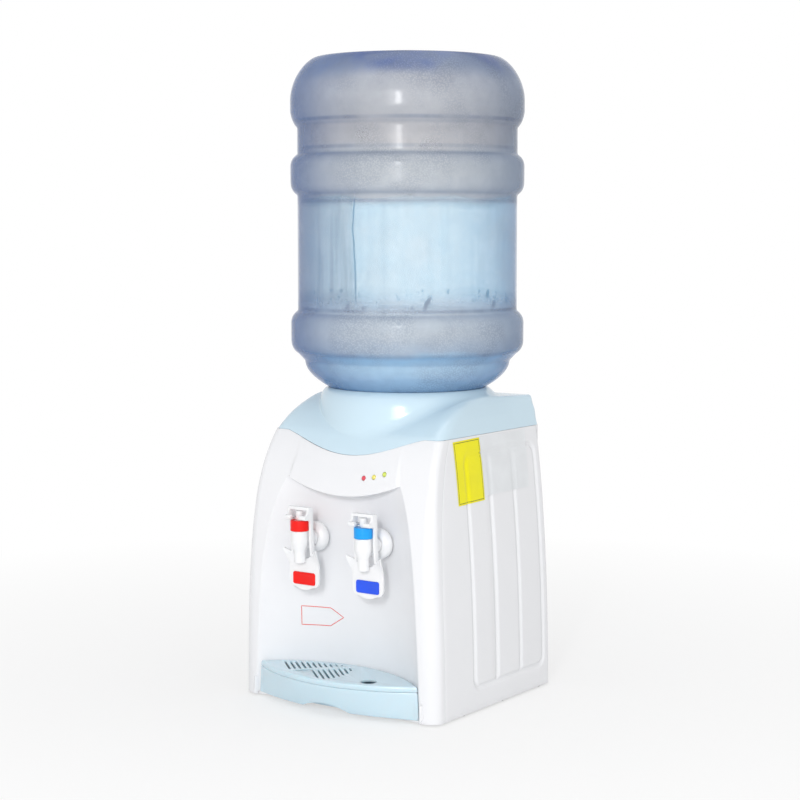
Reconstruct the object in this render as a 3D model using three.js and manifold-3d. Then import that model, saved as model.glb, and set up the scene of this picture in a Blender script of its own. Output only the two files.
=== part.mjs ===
// Countertop hot and cold water dispenser with its refill bottle, as an assembly of separate pieces.
// Millimetres; +X is the user's right, +Y the back, +Z up. Heights are measured from the housing's
// bottom edge and x = y = 0 is the bottle's axis. The last lines stand the whole on its feet, with
// the origin under the middle of the assembly.
import * as THREE from "three";
import { mergeVertices, toCreasedNormals } from "three/addons/utils/BufferGeometryUtils.js";
import Module from "manifold-3d";

// ------------------------------------------------------------------ sizes: mouldings
const wall = 2.5;
const gap = 0.3;
const play = 0.6; // room round a piece that slides or lifts out by hand

// Housing: plan, side curve and hood
const housingWidth = 271.6;
const housingFront = 140.4;
const housingRear = 103.5;
const housingHeight = 347;
const frontCornerWidth = 20;
const frontCornerDepth = 14;
const rearCorner = 8;
const leanStart = 95.7;
const leanEase = 125.8;
const hoodDepth = 116;
const hoodEase = 105.6;
const sideLean = 28;
const sideEase = 146;
const shoulderDrop = 9;
const shoulderRun = 13;
const frontWrap = 18; // how far the front panel wraps round onto the sides
const rearReturn = 22; // how far the side panels wrap round onto the back

// Parting line between the housing and the top cover
const seamHeight = 306.5;
const seamDip = 22;
const seamReach = 96;

// Top cover: drum and collar round the bottle's shoulder
const drumRadius = 108.5;
const drumHeight = 300;
const rimRadius = 92;
const rimHeight = 354;
const collarWall = 3.5;
const collarDepth = 14;
const ledgeWidth = 5.5;

// Tap bay in the front, and the brow over it
const bayRadius = 162;
const bayDepth = 47.8;
const bayLean = 0.0507;
const browDrop = 45; // from the middle of the parting line down to the brow's edge
const browHeight = seamHeight - seamDip - browDrop;
const browRise = 16.5;
const browHalfWidth = 78;
const browBulge = 2;

// Indicator lamps on the brow
const lampRadius = 2.6;
const lampLength = 9;
const lampProud = 0.8;
const lampX = 28.5;
const lampPitch = 13.5;
const lampOverBrow = 22; // height of the first lamp over the middle of the brow's edge
const lampRise = 2;

// Moulded grooves on the sides
const grooveRadius = 7;
const grooveDepth = 2;
const grooveFront = -61;
const groovePitch = 49.2;
const groovePanels = 3;
const grooveLow = 26;
const grooveHigh = seamHeight - 20.5;
const grooveCorner = 11;

// Base pan and feet
const panThickness = 2.3;
const panRim = 12;
const footHeight = 2;
const footRadius = 3.2;
const footSides = 6;
const footFront = -79;
const footPitch = 80.7;
const footRows = ["front", "middle", "rear"];

// Drip tray and its grille
const trayHeight = 40;
const grilleHeight = 6.6;
const trayWall = 2.2;
const trayBulgeTop = 36;
const trayBulgeBottom = 20;
const trayCorner = 9;
const archHalfWidth = 33;
const archHeight = 8;
const slotWidth = 3;
const slotPitch = 6.05;
const slotAngle = 43;
const slotFieldX = -33;
const slotFieldY = -144;
const slotFieldRadius = 39;
const slotMargin = 11;
const drainRib = 9;
const liftHoleRadius = 9.3;
const liftHoleX = 53;
const liftHoleInset = 26;

// Taps
const tapSides = 12;
const tapSpacing = 88.8;
const tapProud = 7.6;
const spoutBottom = 162.5;
const spoutLength = 14;
const spoutRadius = 6.3;
const spoutBore = 4.2;
const barrelRadius = 9.9;
const barrelWall = 2.2;
const spigotHeight = 188.5;
const spigotRadius = 7.4;
const spigotBore = 4.2;
const spigotTail = 8;
const capBottom = 199;
const capHeight = 12;
const capRadius = 10.6;
const capTop = 2.4;
const bossRadius = 20;
const flangeRadius = 17.6;
const flangeThickness = 10;
const nutRadius = 13;
const nutThickness = 5.5;
const stemRadius = 3.2;
const stemTop = 221.5;
const plugHeight = 6;
const springRadius = 5.4;
const springWire = 0.8;
const springTurns = 3;

// Tap levers
const pivotForward = 7;
const pivotRise = 3.6;
const pinRadius = 1.4;
const cheekInside = 11.8;
const cheekThickness = 2.6;
const cheekHalfDepth = 6.4;
const armFront = 1.6; // front edge of a cheek beside the cap, behind the tap's axis
const yokeTop = 226;
const yokeBar = 2.8;
const paddleBottom = 130;
const paddleHalfWidth = 20.7;
const paddleBack = 9;
const paddleRound = 8;
const paddleSag = 3;
const paddleThickness = 2.6;
const notchBottom = 166;
const wingTip = 178;
const wingHalfWidth = 23;
const wingCurl = 9;
const plateWidth = 31;
const plateHeight = 14;
const plateThickness = 1.6;
const plateBottom = 136;
const plateCorner = 2.5;

// Bottle, its cap and the seat that carries it
const bottleRadius = 135;
const bottleWaist = 127;
const bottleWall = 1.6;
const bottleHeight = 744;
const bottleSides = 20;
const shoulderSlope = 0.6;
const shoulderTop = 385;
const shoulderRadius = 119;
const neckRadius = 27.5;
const neckWall = 2;
const neckTip = 254;
const hoopHeight = 49;
const lowHoopRise = 10; // over the top of the shoulder
const highHoopShare = 0.53; // of the length from the shoulder to the top
const domeHoopShare = 0.752;
const domeRise = 42;
const domeRound = 27;
const domeFall = 11;
const domeTopRadius = 32;
const capWall = 1.6;
const capSkirt = 30;
const seatWall = 2.5;
const wellRadius = 33.5;
const wellFloor = 247;
const probeRadius = 8;
const probeTop = 292;
const probeBore = 3;
const nippleLength = 14;

// Water system behind the bay
const tankWall = 1.2;
const coldTankRadius = 48;
const coldTankBottom = 152;
const hotTankRadius = 40;
const hotTankTop = 118;
const hotTankBottom = 16;
const hotStandRadius = 30;
const heaterHeight = 34;
const heaterThickness = 4;
const tubeRadius = 5;
const tubeBore = 3.7;
const portRadius = 3;
const portLength = 9;
const drawX = 26;
const drawDrop = 18;
const tankSides = 12;

// Thermoelectric cooler on the back of the cold tank
const coolerZ = 190;
const coolerHalf = 20;
const blockDepth = 9;
const peltierDepth = 3.8;
const sinkHalf = 38;
const sinkBase = 4;
const sinkDepth = 26;
const sinkFins = 9;
const finThickness = 1.6;
const fanDepth = 12;
const fanRadius = 34;
const fanHub = 13;
const fanBlades = 7;

// Control board, switches, cord gland and drain at the back
const boardInset = 31.8; // from the housing's side to the board's edge
const boardWidth = 52;
const boardLength = 84;
const boardHeight = 16;
const switchX = 84;
const switchZ = 58;
const switchPitch = 27;
const switchWidth = 13;
const switchHeight = 19;
const glandX = -78;
const glandZ = 40;
const glandRadius = 8;
const glandBore = 3.6;
const drainX = 0;
const drainZ = 34;
const drainRadius = 7;
const drainBore = 3.6;
const drainReach = 14;
const drainCapRadius = 10.5;
const ventWidth = 4;
const ventPitch = 9;
const ventLength = 26;
const ventCount = 7;
const ventZ = (coolerZ + fanRadius + seamHeight) / 2;

// ------------------------------------------------------------------ colours and finishes
const finish = (color, roughness, metalness = 0, opacity = 1) => ({
  color,
  roughness,
  metalness,
  opacity,
  transparent: opacity < 1,
});
const whiteAbs = finish(0xf3f3f6, 0.28);
const blueAbs = finish(0xcfe6f2, 0.26);
const whitePlastic = finish(0xfafafc, 0.35);
const greyPlastic = finish(0x5a5d61, 0.5);
const redPlastic = finish(0xd8261f, 0.3);
const azurePlastic = finish(0x3f8fdc, 0.3);
const bluePlastic = finish(0x2a4fd0, 0.3);
const yellowPlastic = finish(0xf0e25a, 0.3);
const greenPlastic = finish(0xc8d84a, 0.3);
const clearBlue = finish(0x9cc4dc, 0.08, 0, 0.5);
const silicone = finish(0xe6e6e2, 0.6);
const blackRubber = finish(0x1c1c1e, 0.8);
const steel = finish(0xb9bcc0, 0.3, 1);
const aluminium = finish(0xc7c9cc, 0.4, 1);
const ceramic = finish(0xf0f0ea, 0.6);
const circuitGreen = finish(0x2c6b3f, 0.6);

// ------------------------------------------------------------------ solid modelling helpers
const wasm = await Module();
wasm.setup();

const housing = new THREE.Group(); // everything is built in the bottle-axis frame

// Turns a closed three.js geometry into a solid that can be joined and cut.
function solid(geometry) {
  const bare = geometry.index ? geometry.toNonIndexed() : geometry.clone();
  bare.deleteAttribute("normal");
  bare.deleteAttribute("uv");
  const merged = mergeVertices(bare, 1e-4);
  const corners = [];
  for (let i = 0; i < merged.index.count; i += 3) {
    const [a, b, c] = [0, 1, 2].map((k) => merged.index.getX(i + k));
    if (a !== b && b !== c && c !== a) corners.push(a, b, c);
  }
  const vertProperties = new Float32Array(merged.attributes.position.array);
  const make = (tris) =>
    new wasm.Manifold(
      new wasm.Mesh({ numProp: 3, vertProperties, triVerts: new Uint32Array(tris) }),
    );
  const made = make(corners);
  if (made.volume() > 0) return made;
  const flipped = [];
  for (let i = 0; i < corners.length; i += 3) {
    flipped.push(corners[i], corners[i + 2], corners[i + 1]);
  }
  return make(flipped);
}

const union = (...parts) => parts.reduce((sum, part) => sum.add(part));
const cut = (body, ...tools) => tools.reduce((rest, tool) => rest.subtract(tool), body);
const common = (...parts) => parts.reduce((rest, part) => rest.intersect(part));

// Adds one named piece to the assembly, or to a group of it.
function piece(name, body, look, parent = housing) {
  const { vertProperties, triVerts } = body.getMesh();
  const geometry = new THREE.BufferGeometry();
  geometry.setAttribute("position", new THREE.BufferAttribute(vertProperties, 3));
  geometry.setIndex(new THREE.BufferAttribute(triVerts, 1));
  const mesh = new THREE.Mesh(
    toCreasedNormals(geometry, 0.6),
    new THREE.MeshStandardMaterial(look),
  );
  mesh.name = name;
  parent.add(mesh);
  return mesh;
}

const vector = (points) => points.map(([x, y]) => new THREE.Vector2(x, y));
const outline = (points) => new THREE.Shape(vector(points));

// Prisms of an outline: drawn in (x, y), (x, z) or (y, z) and reaching along the third axis.
function prism(shape, from, to, segments) {
  return new THREE.ExtrudeGeometry(shape, {
    depth: to - from,
    bevelEnabled: false,
    curveSegments: segments,
  });
}
function prismZ(shape, from, to, segments = 6) {
  return solid(prism(shape, from, to, segments).translate(0, 0, from));
}
function prismY(shape, from, to, segments = 6) {
  return solid(prism(shape, from, to, segments).rotateX(Math.PI / 2).translate(0, to, 0));
}
function prismX(shape, from, to, segments = 6) {
  const turn = new THREE.Matrix4().set(0, 0, 1, 0, 1, 0, 0, 0, 0, 1, 0, 0, 0, 0, 0, 1);
  return solid(prism(shape, from, to, segments).applyMatrix4(turn).translate(from, 0, 0));
}

function box(x0, x1, y0, y1, z0, z1) {
  const block = new THREE.BoxGeometry(x1 - x0, y1 - y0, z1 - z0);
  return solid(block.translate((x0 + x1) / 2, (y0 + y1) / 2, (z0 + z1) / 2));
}

// A solid of revolution about a vertical line; the profile lists (radius, height).
function turned(profile, segments = 24, x = 0, y = 0) {
  const points = profile.map((p) => (p.isVector2 ? p : new THREE.Vector2(p[0], p[1])));
  const closed = points[0].x > 0 ? [...points, points[0].clone()] : points;
  return solid(new THREE.LatheGeometry(closed, segments).rotateX(Math.PI / 2).translate(x, y, 0));
}

// The same about a line along Y: the profile lists (radius, y).
function turnedY(profile, x, z, segments = 24) {
  const points = profile.map(([r, y]) => new THREE.Vector2(r, y));
  const closed = points[0].x > 0 ? [...points, points[0].clone()] : points;
  return solid(new THREE.LatheGeometry(closed, segments).translate(x, 0, z));
}

function rod(radius, from, to, segments = 16) {
  const start = new THREE.Vector3(...from);
  const end = new THREE.Vector3(...to);
  const along = end.clone().sub(start);
  const turn = new THREE.Quaternion().setFromUnitVectors(
    new THREE.Vector3(0, 1, 0),
    along.clone().normalize(),
  );
  const geometry = new THREE.CylinderGeometry(radius, radius, along.length(), segments);
  const middle = start.add(end).multiplyScalar(0.5);
  return solid(geometry.applyQuaternion(turn).translate(middle.x, middle.y, middle.z));
}

// A round bar swept through points.
function swept(points, radius, sides = 8, steps = 16, tension = 0.5) {
  const path = new THREE.CatmullRomCurve3(
    points.map((p) => new THREE.Vector3(...p)),
    false,
    "catmullrom",
    tension,
  );
  const section = new THREE.Shape().absarc(0, 0, radius, 0, 2 * Math.PI);
  const geometry = new THREE.ExtrudeGeometry(section, {
    steps,
    extrudePath: path,
    curveSegments: sides,
  });
  return solid(geometry);
}

// A solid that changes smoothly between two outlines with the same number of points.
function loft(low, lowZ, high, highZ) {
  const count = low.length;
  const positions = [];
  const rings = [low.map((p) => [p.x, p.y, lowZ]), high.map((p) => [p.x, p.y, highZ])];
  const triangle = (a, b, c) => positions.push(...a, ...b, ...c);
  for (let i = 0; i < count; i += 1) {
    const j = (i + 1) % count;
    triangle(rings[0][i], rings[0][j], rings[1][j]);
    triangle(rings[0][i], rings[1][j], rings[1][i]);
  }
  for (const [a, b, c] of THREE.ShapeUtils.triangulateShape(low, [])) {
    triangle(rings[0][a], rings[0][c], rings[0][b]);
  }
  for (const [a, b, c] of THREE.ShapeUtils.triangulateShape(high, [])) {
    triangle(rings[1][a], rings[1][b], rings[1][c]);
  }
  const geometry = new THREE.BufferGeometry();
  geometry.setAttribute("position", new THREE.Float32BufferAttribute(positions, 3));
  return solid(geometry);
}

// A bent plate: point(u, v) gives its middle surface and half its thickness goes to each side in y.
function bentPlate(us, vs, thickness, point) {
  const side = (shift) =>
    vs.map((v) =>
      us.map((u) => {
        const [x, y, z] = point(u, v);
        return [x, y + shift, z];
      }),
    );
  const front = side(-thickness / 2);
  const back = side(thickness / 2);
  const positions = [];
  const quad = (a, b, c, d) => positions.push(...a, ...b, ...c, ...a, ...c, ...d);
  const [n, m] = [us.length - 1, vs.length - 1];
  for (let j = 0; j < m; j += 1) {
    for (let i = 0; i < n; i += 1) {
      quad(front[j][i], front[j][i + 1], front[j + 1][i + 1], front[j + 1][i]);
      quad(back[j][i], back[j + 1][i], back[j + 1][i + 1], back[j][i + 1]);
    }
    quad(front[j][0], front[j + 1][0], back[j + 1][0], back[j][0]);
    quad(front[j][n], back[j][n], back[j + 1][n], front[j + 1][n]);
  }
  for (let i = 0; i < n; i += 1) {
    quad(front[0][i], back[0][i], back[0][i + 1], front[0][i + 1]);
    quad(front[m][i], front[m][i + 1], back[m][i + 1], back[m][i]);
  }
  const geometry = new THREE.BufferGeometry();
  geometry.setAttribute("position", new THREE.Float32BufferAttribute(positions, 3));
  return solid(geometry);
}

const far = 2 * (bottleHeight + housingWidth); // longer than anything in the assembly
const smooth = (t) => {
  const s = Math.min(Math.max(t, 0), 1);
  return s * s * (3 - 2 * s);
};

// ------------------------------------------------------------------ housing form
const outlineSteps = 7;

// Side outline (y, z): upright foot of the front, then the lean back into the hood.
function sideOutline(inset, bottom) {
  const front = -housingFront + inset;
  const top = housingHeight - inset;
  const shape = new THREE.Shape();
  shape.moveTo(front, bottom);
  shape.lineTo(front, leanStart);
  shape.bezierCurveTo(
    front,
    leanStart + leanEase,
    front + hoodDepth - hoodEase,
    top,
    front + hoodDepth,
    top,
  );
  shape.lineTo(housingRear - inset, top);
  shape.lineTo(housingRear - inset, bottom);
  return shape;
}

// Right-hand edge of the front outline (x, z), from the bottom to the top.
function sideCurve(inset, bottom) {
  const half = housingWidth / 2 - inset;
  const top = housingHeight - inset;
  const curve = new THREE.Path();
  curve.moveTo(half, bottom);
  curve.lineTo(half, 0);
  curve.bezierCurveTo(
    half,
    sideEase,
    half - sideLean / 2,
    top - shoulderDrop - sideLean,
    half - sideLean,
    top - shoulderDrop,
  );
  curve.quadraticCurveTo(
    half - sideLean - shoulderDrop / 2,
    top,
    half - sideLean - shoulderRun,
    top,
  );
  return curve;
}

function frontOutline(inset, bottom) {
  const right = sideCurve(inset, bottom).getPoints(5);
  const left = right.map((p) => new THREE.Vector2(-p.x, p.y)).reverse();
  return new THREE.Shape([...right, ...left]);
}

function planOutline(inset) {
  const half = housingWidth / 2 - inset;
  const front = -housingFront + inset;
  const rear = housingRear - inset;
  const cornerX = frontCornerWidth - inset;
  const cornerY = frontCornerDepth - inset;
  const back = Math.max(rearCorner - inset, wall);
  const turn = Math.PI / 2;
  const shape = new THREE.Shape();
  shape.absellipse(half - cornerX, front + cornerY, cornerX, cornerY, -turn, 0, false, 0);
  shape.absarc(half - back, rear - back, back, 0, turn, false);
  shape.absarc(-half + back, rear - back, back, turn, 2 * turn, false);
  shape.absellipse(
    -half + cornerX,
    front + cornerY,
    cornerX,
    cornerY,
    2 * turn,
    3 * turn,
    false,
    0,
  );
  return shape;
}

function housingForm(inset, bottom) {
  return common(
    prismX(sideOutline(inset, bottom), -housingWidth, housingWidth, outlineSteps),
    prismY(frontOutline(inset, bottom), -2 * housingFront, 2 * housingRear),
    prismZ(planOutline(inset), bottom, housingHeight, 3),
  );
}

// The drum that carries the bottle's collar, rising out of the hood.
function drumForm(inset) {
  const curve = new THREE.Path();
  const bottom = seamHeight - seamDip - housingWidth / 4;
  const radius = drumRadius - inset;
  const top = rimHeight - inset;
  curve.moveTo(0, bottom);
  curve.lineTo(radius, bottom);
  curve.lineTo(radius, drumHeight);
  curve.bezierCurveTo(
    radius - wall / 2,
    rimHeight - (rimHeight - drumHeight) / 3,
    rimRadius - inset + 2 * wall,
    top,
    rimRadius - inset,
    top,
  );
  curve.lineTo(0, top);
  return common(
    turned(curve.getPoints(3), 24),
    prismZ(planOutline(inset), bottom, rimHeight, 3),
  );
}

const seamAt = (x) => {
  const across = Math.min(Math.abs(x) / seamReach, 1);
  return seamHeight - seamDip * (0.5 + 0.5 * Math.cos(Math.PI * across)) ** 0.6;
};

// Everything above the parting line, moved up or down by a clearance.
function aboveSeam(shift) {
  const points = [];
  const steps = 12;
  for (let i = 0; i <= steps; i += 1) {
    const x = seamReach * ((2 * i) / steps - 1);
    points.push([x, seamAt(x) + shift]);
  }
  const wave = outline([
    [-housingWidth, seamHeight + shift],
    ...points,
    [housingWidth, seamHeight + shift],
    [housingWidth, far],
    [-housingWidth, far],
  ]);
  return union(
    prismY(wave, -2 * housingFront, 0),
    box(-housingWidth, housingWidth, -1, 2 * housingRear, seamHeight + shift, far),
  );
}

const outerForm = union(housingForm(0, 0), drumForm(0));
const innerForm = union(housingForm(wall, -housingWidth), drumForm(wall));
const shell = cut(outerForm, innerForm);
const lowerShell = cut(shell, aboveSeam(-gap / 2));

// ------------------------------------------------------------------ tap bay form
const bayCentre = -housingFront + bayDepth - bayRadius;
const bayWallY = (x, z) => bayCentre - bayLean * z + Math.sqrt(bayRadius ** 2 - x ** 2);
const bayHalfWidth = (z) =>
  Math.sqrt(bayRadius ** 2 - (bayCentre - bayLean * z + housingFront) ** 2);
const browAt = (x) => browHeight + browRise * (x / browHalfWidth) ** 2;

// The hollow of the bay, a leaning cylinder; extra grows its radius.
function bayForm(extra) {
  const shape = new THREE.Shape();
  const open = 0.19 * Math.PI;
  shape.absarc(0, bayCentre, bayRadius + extra, open, Math.PI - open, false);
  shape.lineTo(-bayRadius, -2 * housingFront);
  shape.lineTo(bayRadius, -2 * housingFront);
  const lean = new THREE.Matrix4().set(1, 0, 0, 0, 0, 1, -bayLean, 0, 0, 0, 1, 0, 0, 0, 0, 1);
  const low = -housingWidth / 4;
  const geometry = prism(shape, low, housingHeight, 8).translate(0, 0, low);
  return solid(geometry.applyMatrix4(lean));
}

// The region between a level and the curved lower edge of the brow.
function underBrow(bottom, lift) {
  const points = [];
  const steps = 10;
  for (let i = 0; i <= steps; i += 1) {
    const x = housingWidth * (i / steps - 0.5);
    points.push([x, browAt(x) + lift]);
  }
  const half = housingWidth / 2;
  const shape = outline([[-half, bottom], ...points, [half, bottom]].reverse());
  return prismY(shape, -2 * housingFront, 0);
}

const tapX = tapSpacing / 2;
const tapY = -(housingFront + tapProud);
const bossFace = bayWallY(tapX + bossRadius, spigotHeight);
const bossBack = bayWallY(tapX - bossRadius, spigotHeight) + wall;
const sides = { hot: -1, cold: 1 };
const lamps = ["hot_lamp", "power_lamp", "cold_lamp"];
const lampAt = (i) => [
  lampX + i * lampPitch,
  browHeight + lampOverBrow + (lampRise * i * (i + 1)) / 2,
];

// Front face of the housing at a height, as a y.
function frontFaceAt(z) {
  const points = sideOutline(0, 0).getPoints(24);
  const next = points.findIndex((p) => p.y >= z);
  const [a, b] = [points[Math.max(next - 1, 0)], points[next]];
  const share = b.y > a.y ? (z - a.y) / (b.y - a.y) : 0;
  return a.x + share * (b.x - a.x);
}

// Everything that lies further back than the front face by a distance.
function behindFront(distance) {
  const region = prismX(sideOutline(0, -housingWidth), -housingWidth, housingWidth, outlineSteps);
  return region.translate([0, distance, 0]);
}

// ------------------------------------------------------------------ front panel
function frontPanel() {
  const wrap = cut(lowerShell, behindFront(frontWrap), box(-far, far, 0, far, -far, far));
  const bayShell = common(
    bayForm(wall),
    underBrow(panThickness + gap, wall),
    housingForm(0, 0),
  );
  const seamMiddle = seamHeight - seamDip;
  const slope = browBulge / (seamMiddle - browHeight);
  const forward = new THREE.Matrix4().set(
    1, 0, 0, 0,
    0, 1, slope, -browBulge - slope * browHeight,
    0, 0, 1, 0,
    0, 0, 0, 1,
  );
  const swollen = solid(
    prism(sideOutline(0, 0), -browHalfWidth, browHalfWidth, outlineSteps)
      .applyMatrix4(new THREE.Matrix4().set(0, 0, 1, 0, 1, 0, 0, 0, 0, 1, 0, 0, 0, 0, 0, 1))
      .translate(-browHalfWidth, 0, 0)
      .applyMatrix4(forward),
  );
  const brow = cut(
    common(swollen, box(-far, far, -far, 0, browHeight, far)),
    prismX(sideOutline(wall / 2, 0), -housingWidth, housingWidth, outlineSteps),
    underBrow(-far, 0),
    aboveSeam(-gap / 2),
  );
  let panel = cut(union(wrap, bayShell, brow), common(bayForm(0), underBrow(-far, 0)));
  for (const side of Object.values(sides)) {
    const x = side * tapX;
    const boss = rod(bossRadius, [x, bossFace, spigotHeight], [x, bossBack, spigotHeight], 16);
    const hole = rod(spigotRadius + gap, [x, tapY, spigotHeight], [x, 0, spigotHeight], 10);
    panel = cut(union(panel, boss), hole);
  }
  lamps.forEach((name, i) => {
    const [x, z] = lampAt(i);
    panel = cut(panel, rod(lampRadius + gap, [x, -far, z], [x, 0, z], 8));
  });
  return panel;
}
piece("front_panel", frontPanel(), whiteAbs);

lamps.forEach((name, i) => {
  const [x, z] = lampAt(i);
  const tip = frontFaceAt(z) - browBulge - lampProud;
  const lens = turnedY(
    [
      [0, tip],
      [lampRadius * 0.7, tip + lampProud * 0.3],
      [lampRadius, tip + lampProud],
      [lampRadius, tip + lampLength],
      [0, tip + lampLength],
    ],
    x,
    z,
    8,
  );
  piece(name, lens, [redPlastic, yellowPlastic, greenPlastic][i]);
});

// ------------------------------------------------------------------ side panels
const rearHalf = housingWidth / 2 - rearReturn;

// Half width of the housing at a height.
function halfWidthAt(z) {
  const points = sideCurve(0, -housingWidth).getPoints(24);
  const next = points.findIndex((p) => p.y >= z);
  const [a, b] = [points[next - 1], points[next]];
  return a.x + ((z - a.y) / (b.y - a.y)) * (b.x - a.x);
}

// A ball-nosed groove that follows the side's curve through (y, z) points.
function groove(points, steps) {
  const stand = grooveRadius - grooveDepth;
  return swept(
    points.map(([y, z]) => [halfWidthAt(z) + stand, y, z]),
    grooveRadius,
    4,
    steps,
  );
}

function sideGrooves() {
  const front = grooveFront;
  const rear = grooveFront + groovePanels * groovePitch;
  const middle = (grooveLow + grooveHigh) / 2;
  const corner = grooveCorner;
  const upright = (y, low, high) =>
    [0, 1, 2, 3, 4, 5].map((i) => [y, low + ((high - low) * i) / 5]);
  const bend = (y, z, turnY, turnZ) => [
    [y + turnY * corner * 0.3, z + turnZ * corner * 0.3],
  ];
  const lowRun = [
    ...upright(front, middle + corner, grooveLow + corner),
    ...bend(front, grooveLow, 1, 1),
    [front + corner, grooveLow],
    [(front + rear) / 2, grooveLow],
    [rear - corner, grooveLow],
    ...bend(rear, grooveLow, -1, 1),
    ...upright(rear, grooveLow + corner, middle + corner),
  ];
  const highRun = [
    ...upright(front, middle, grooveHigh - corner),
    ...bend(front, grooveHigh, 1, -1),
    [front + corner, grooveHigh],
    [(front + rear) / 2, grooveHigh],
    [rear - corner, grooveHigh],
    ...bend(rear, grooveHigh, -1, -1),
    ...upright(rear, grooveHigh - corner, middle),
  ];
  const tools = [groove(lowRun, 13), groove(highRun, 14)];
  for (let i = 1; i < groovePanels; i += 1) {
    tools.push(groove(upright(front + i * groovePitch, grooveLow, grooveHigh), 4));
  }
  return union(...tools);
}

function rightPanel() {
  const inside = common(behindFront(frontWrap + gap), box(0, far, -far, far, -far, far));
  const rearOpening = box(-far, rearHalf + gap, housingRear - 2 * wall, far, -far, far);
  return cut(common(lowerShell, inside), rearOpening, sideGrooves());
}
const right = rightPanel();
piece("right_side_panel", right, whiteAbs);
piece("left_side_panel", right.mirror([1, 0, 0]), whiteAbs);

// ------------------------------------------------------------------ rear panel
const glandSeat = glandRadius - wall / 2;

function rearPanel() {
  const plate = common(
    lowerShell,
    box(-rearHalf, rearHalf, housingRear - 2 * wall, far, panThickness + gap, far),
  );
  const slots = [];
  for (let i = 0; i < ventCount; i += 1) {
    const x = ventPitch * (i - (ventCount - 1) / 2);
    slots.push(
      box(
        x - ventWidth / 2,
        x + ventWidth / 2,
        0,
        far,
        ventZ - ventLength / 2,
        ventZ + ventLength / 2,
      ),
    );
  }
  const rows = Math.floor(fanRadius / ventPitch);
  for (let i = -rows; i <= rows; i += 1) {
    const z = coolerZ + i * ventPitch;
    const half = Math.sqrt(fanRadius ** 2 - (i * ventPitch) ** 2);
    slots.push(box(-half, half, 0, far, z - ventWidth / 2, z + ventWidth / 2));
  }
  const spine = box(-ventWidth / 2, ventWidth / 2, 0, far, -far, ventZ - ventLength);
  const openings = [
    cut(union(...slots), spine),
    rod(glandSeat + gap, [glandX, 0, glandZ], [glandX, far, glandZ], 12),
    rod(drainRadius + gap, [drainX, 0, drainZ], [drainX, far, drainZ], 12),
  ];
  [0, 1].forEach((i) => {
    const x = switchX - i * switchPitch;
    openings.push(
      box(
        x - switchWidth / 2 - gap,
        x + switchWidth / 2 + gap,
        0,
        far,
        switchZ - switchHeight / 2 - gap,
        switchZ + switchHeight / 2 + gap,
      ),
    );
  });
  return cut(plate, ...openings);
}
piece("rear_panel", rearPanel(), whiteAbs);

// ------------------------------------------------------------------ top cover
const ledgeHeight = rimHeight - collarDepth;
const collarBore = rimRadius - collarWall;

// Height of the bottle's shoulder cone at a radius inside the rim.
const shoulderAt = (radius) => rimHeight + 2 * gap - shoulderSlope * (rimRadius - radius);

function topCover() {
  const hood = common(shell, aboveSeam(gap / 2));
  const bore = turned(
    [
      [0, ledgeHeight],
      [collarBore, ledgeHeight],
      [collarBore, shoulderAt(collarBore) - 2 * gap],
      [rimRadius, rimHeight],
      [rimRadius, far],
      [0, far],
    ],
    bottleSides,
  );
  const collar = turned(
    [
      [collarBore - ledgeWidth, ledgeHeight - wall],
      [collarBore + wall, ledgeHeight - wall],
      [collarBore + wall, rimHeight - wall / 2],
      [collarBore, shoulderAt(collarBore) - 2 * gap],
      [collarBore, ledgeHeight],
      [collarBore - ledgeWidth, ledgeHeight],
    ],
    bottleSides,
  );
  return union(cut(hood, bore), collar);
}
piece("top_cover", topCover(), blueAbs);

// ------------------------------------------------------------------ bottle seat with its probe
function bottleSeat() {
  const rim = collarBore - gap;
  const lip = rim - seatWall;
  return turned(
    [
      [probeBore, wellFloor - nippleLength],
      [probeRadius, wellFloor - nippleLength],
      [probeRadius, wellFloor - seatWall],
      [wellRadius + seatWall, wellFloor - seatWall],
      [wellRadius + seatWall, shoulderAt(wellRadius + seatWall) - 2 * gap - 1.2 * seatWall],
      [lip, shoulderAt(lip) - 2 * gap - 1.2 * seatWall],
      [lip, ledgeHeight + gap],
      [rim, ledgeHeight + gap],
      [rim, shoulderAt(rim) - 2 * gap],
      [wellRadius, shoulderAt(wellRadius) - 2 * gap],
      [wellRadius, wellFloor],
      [probeRadius, wellFloor],
      [probeRadius, probeTop - probeRadius],
      [probeBore, probeTop],
    ],
    bottleSides,
  );
}
piece("bottle_seat", bottleSeat(), blueAbs);

// ------------------------------------------------------------------ bottle and cap
const bodyLength = bottleHeight - shoulderTop;
const lowHoop = shoulderTop + lowHoopRise;
const highHoop = shoulderTop + highHoopShare * bodyLength;
const domeHoop = shoulderTop + domeHoopShare * bodyLength;

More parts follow.
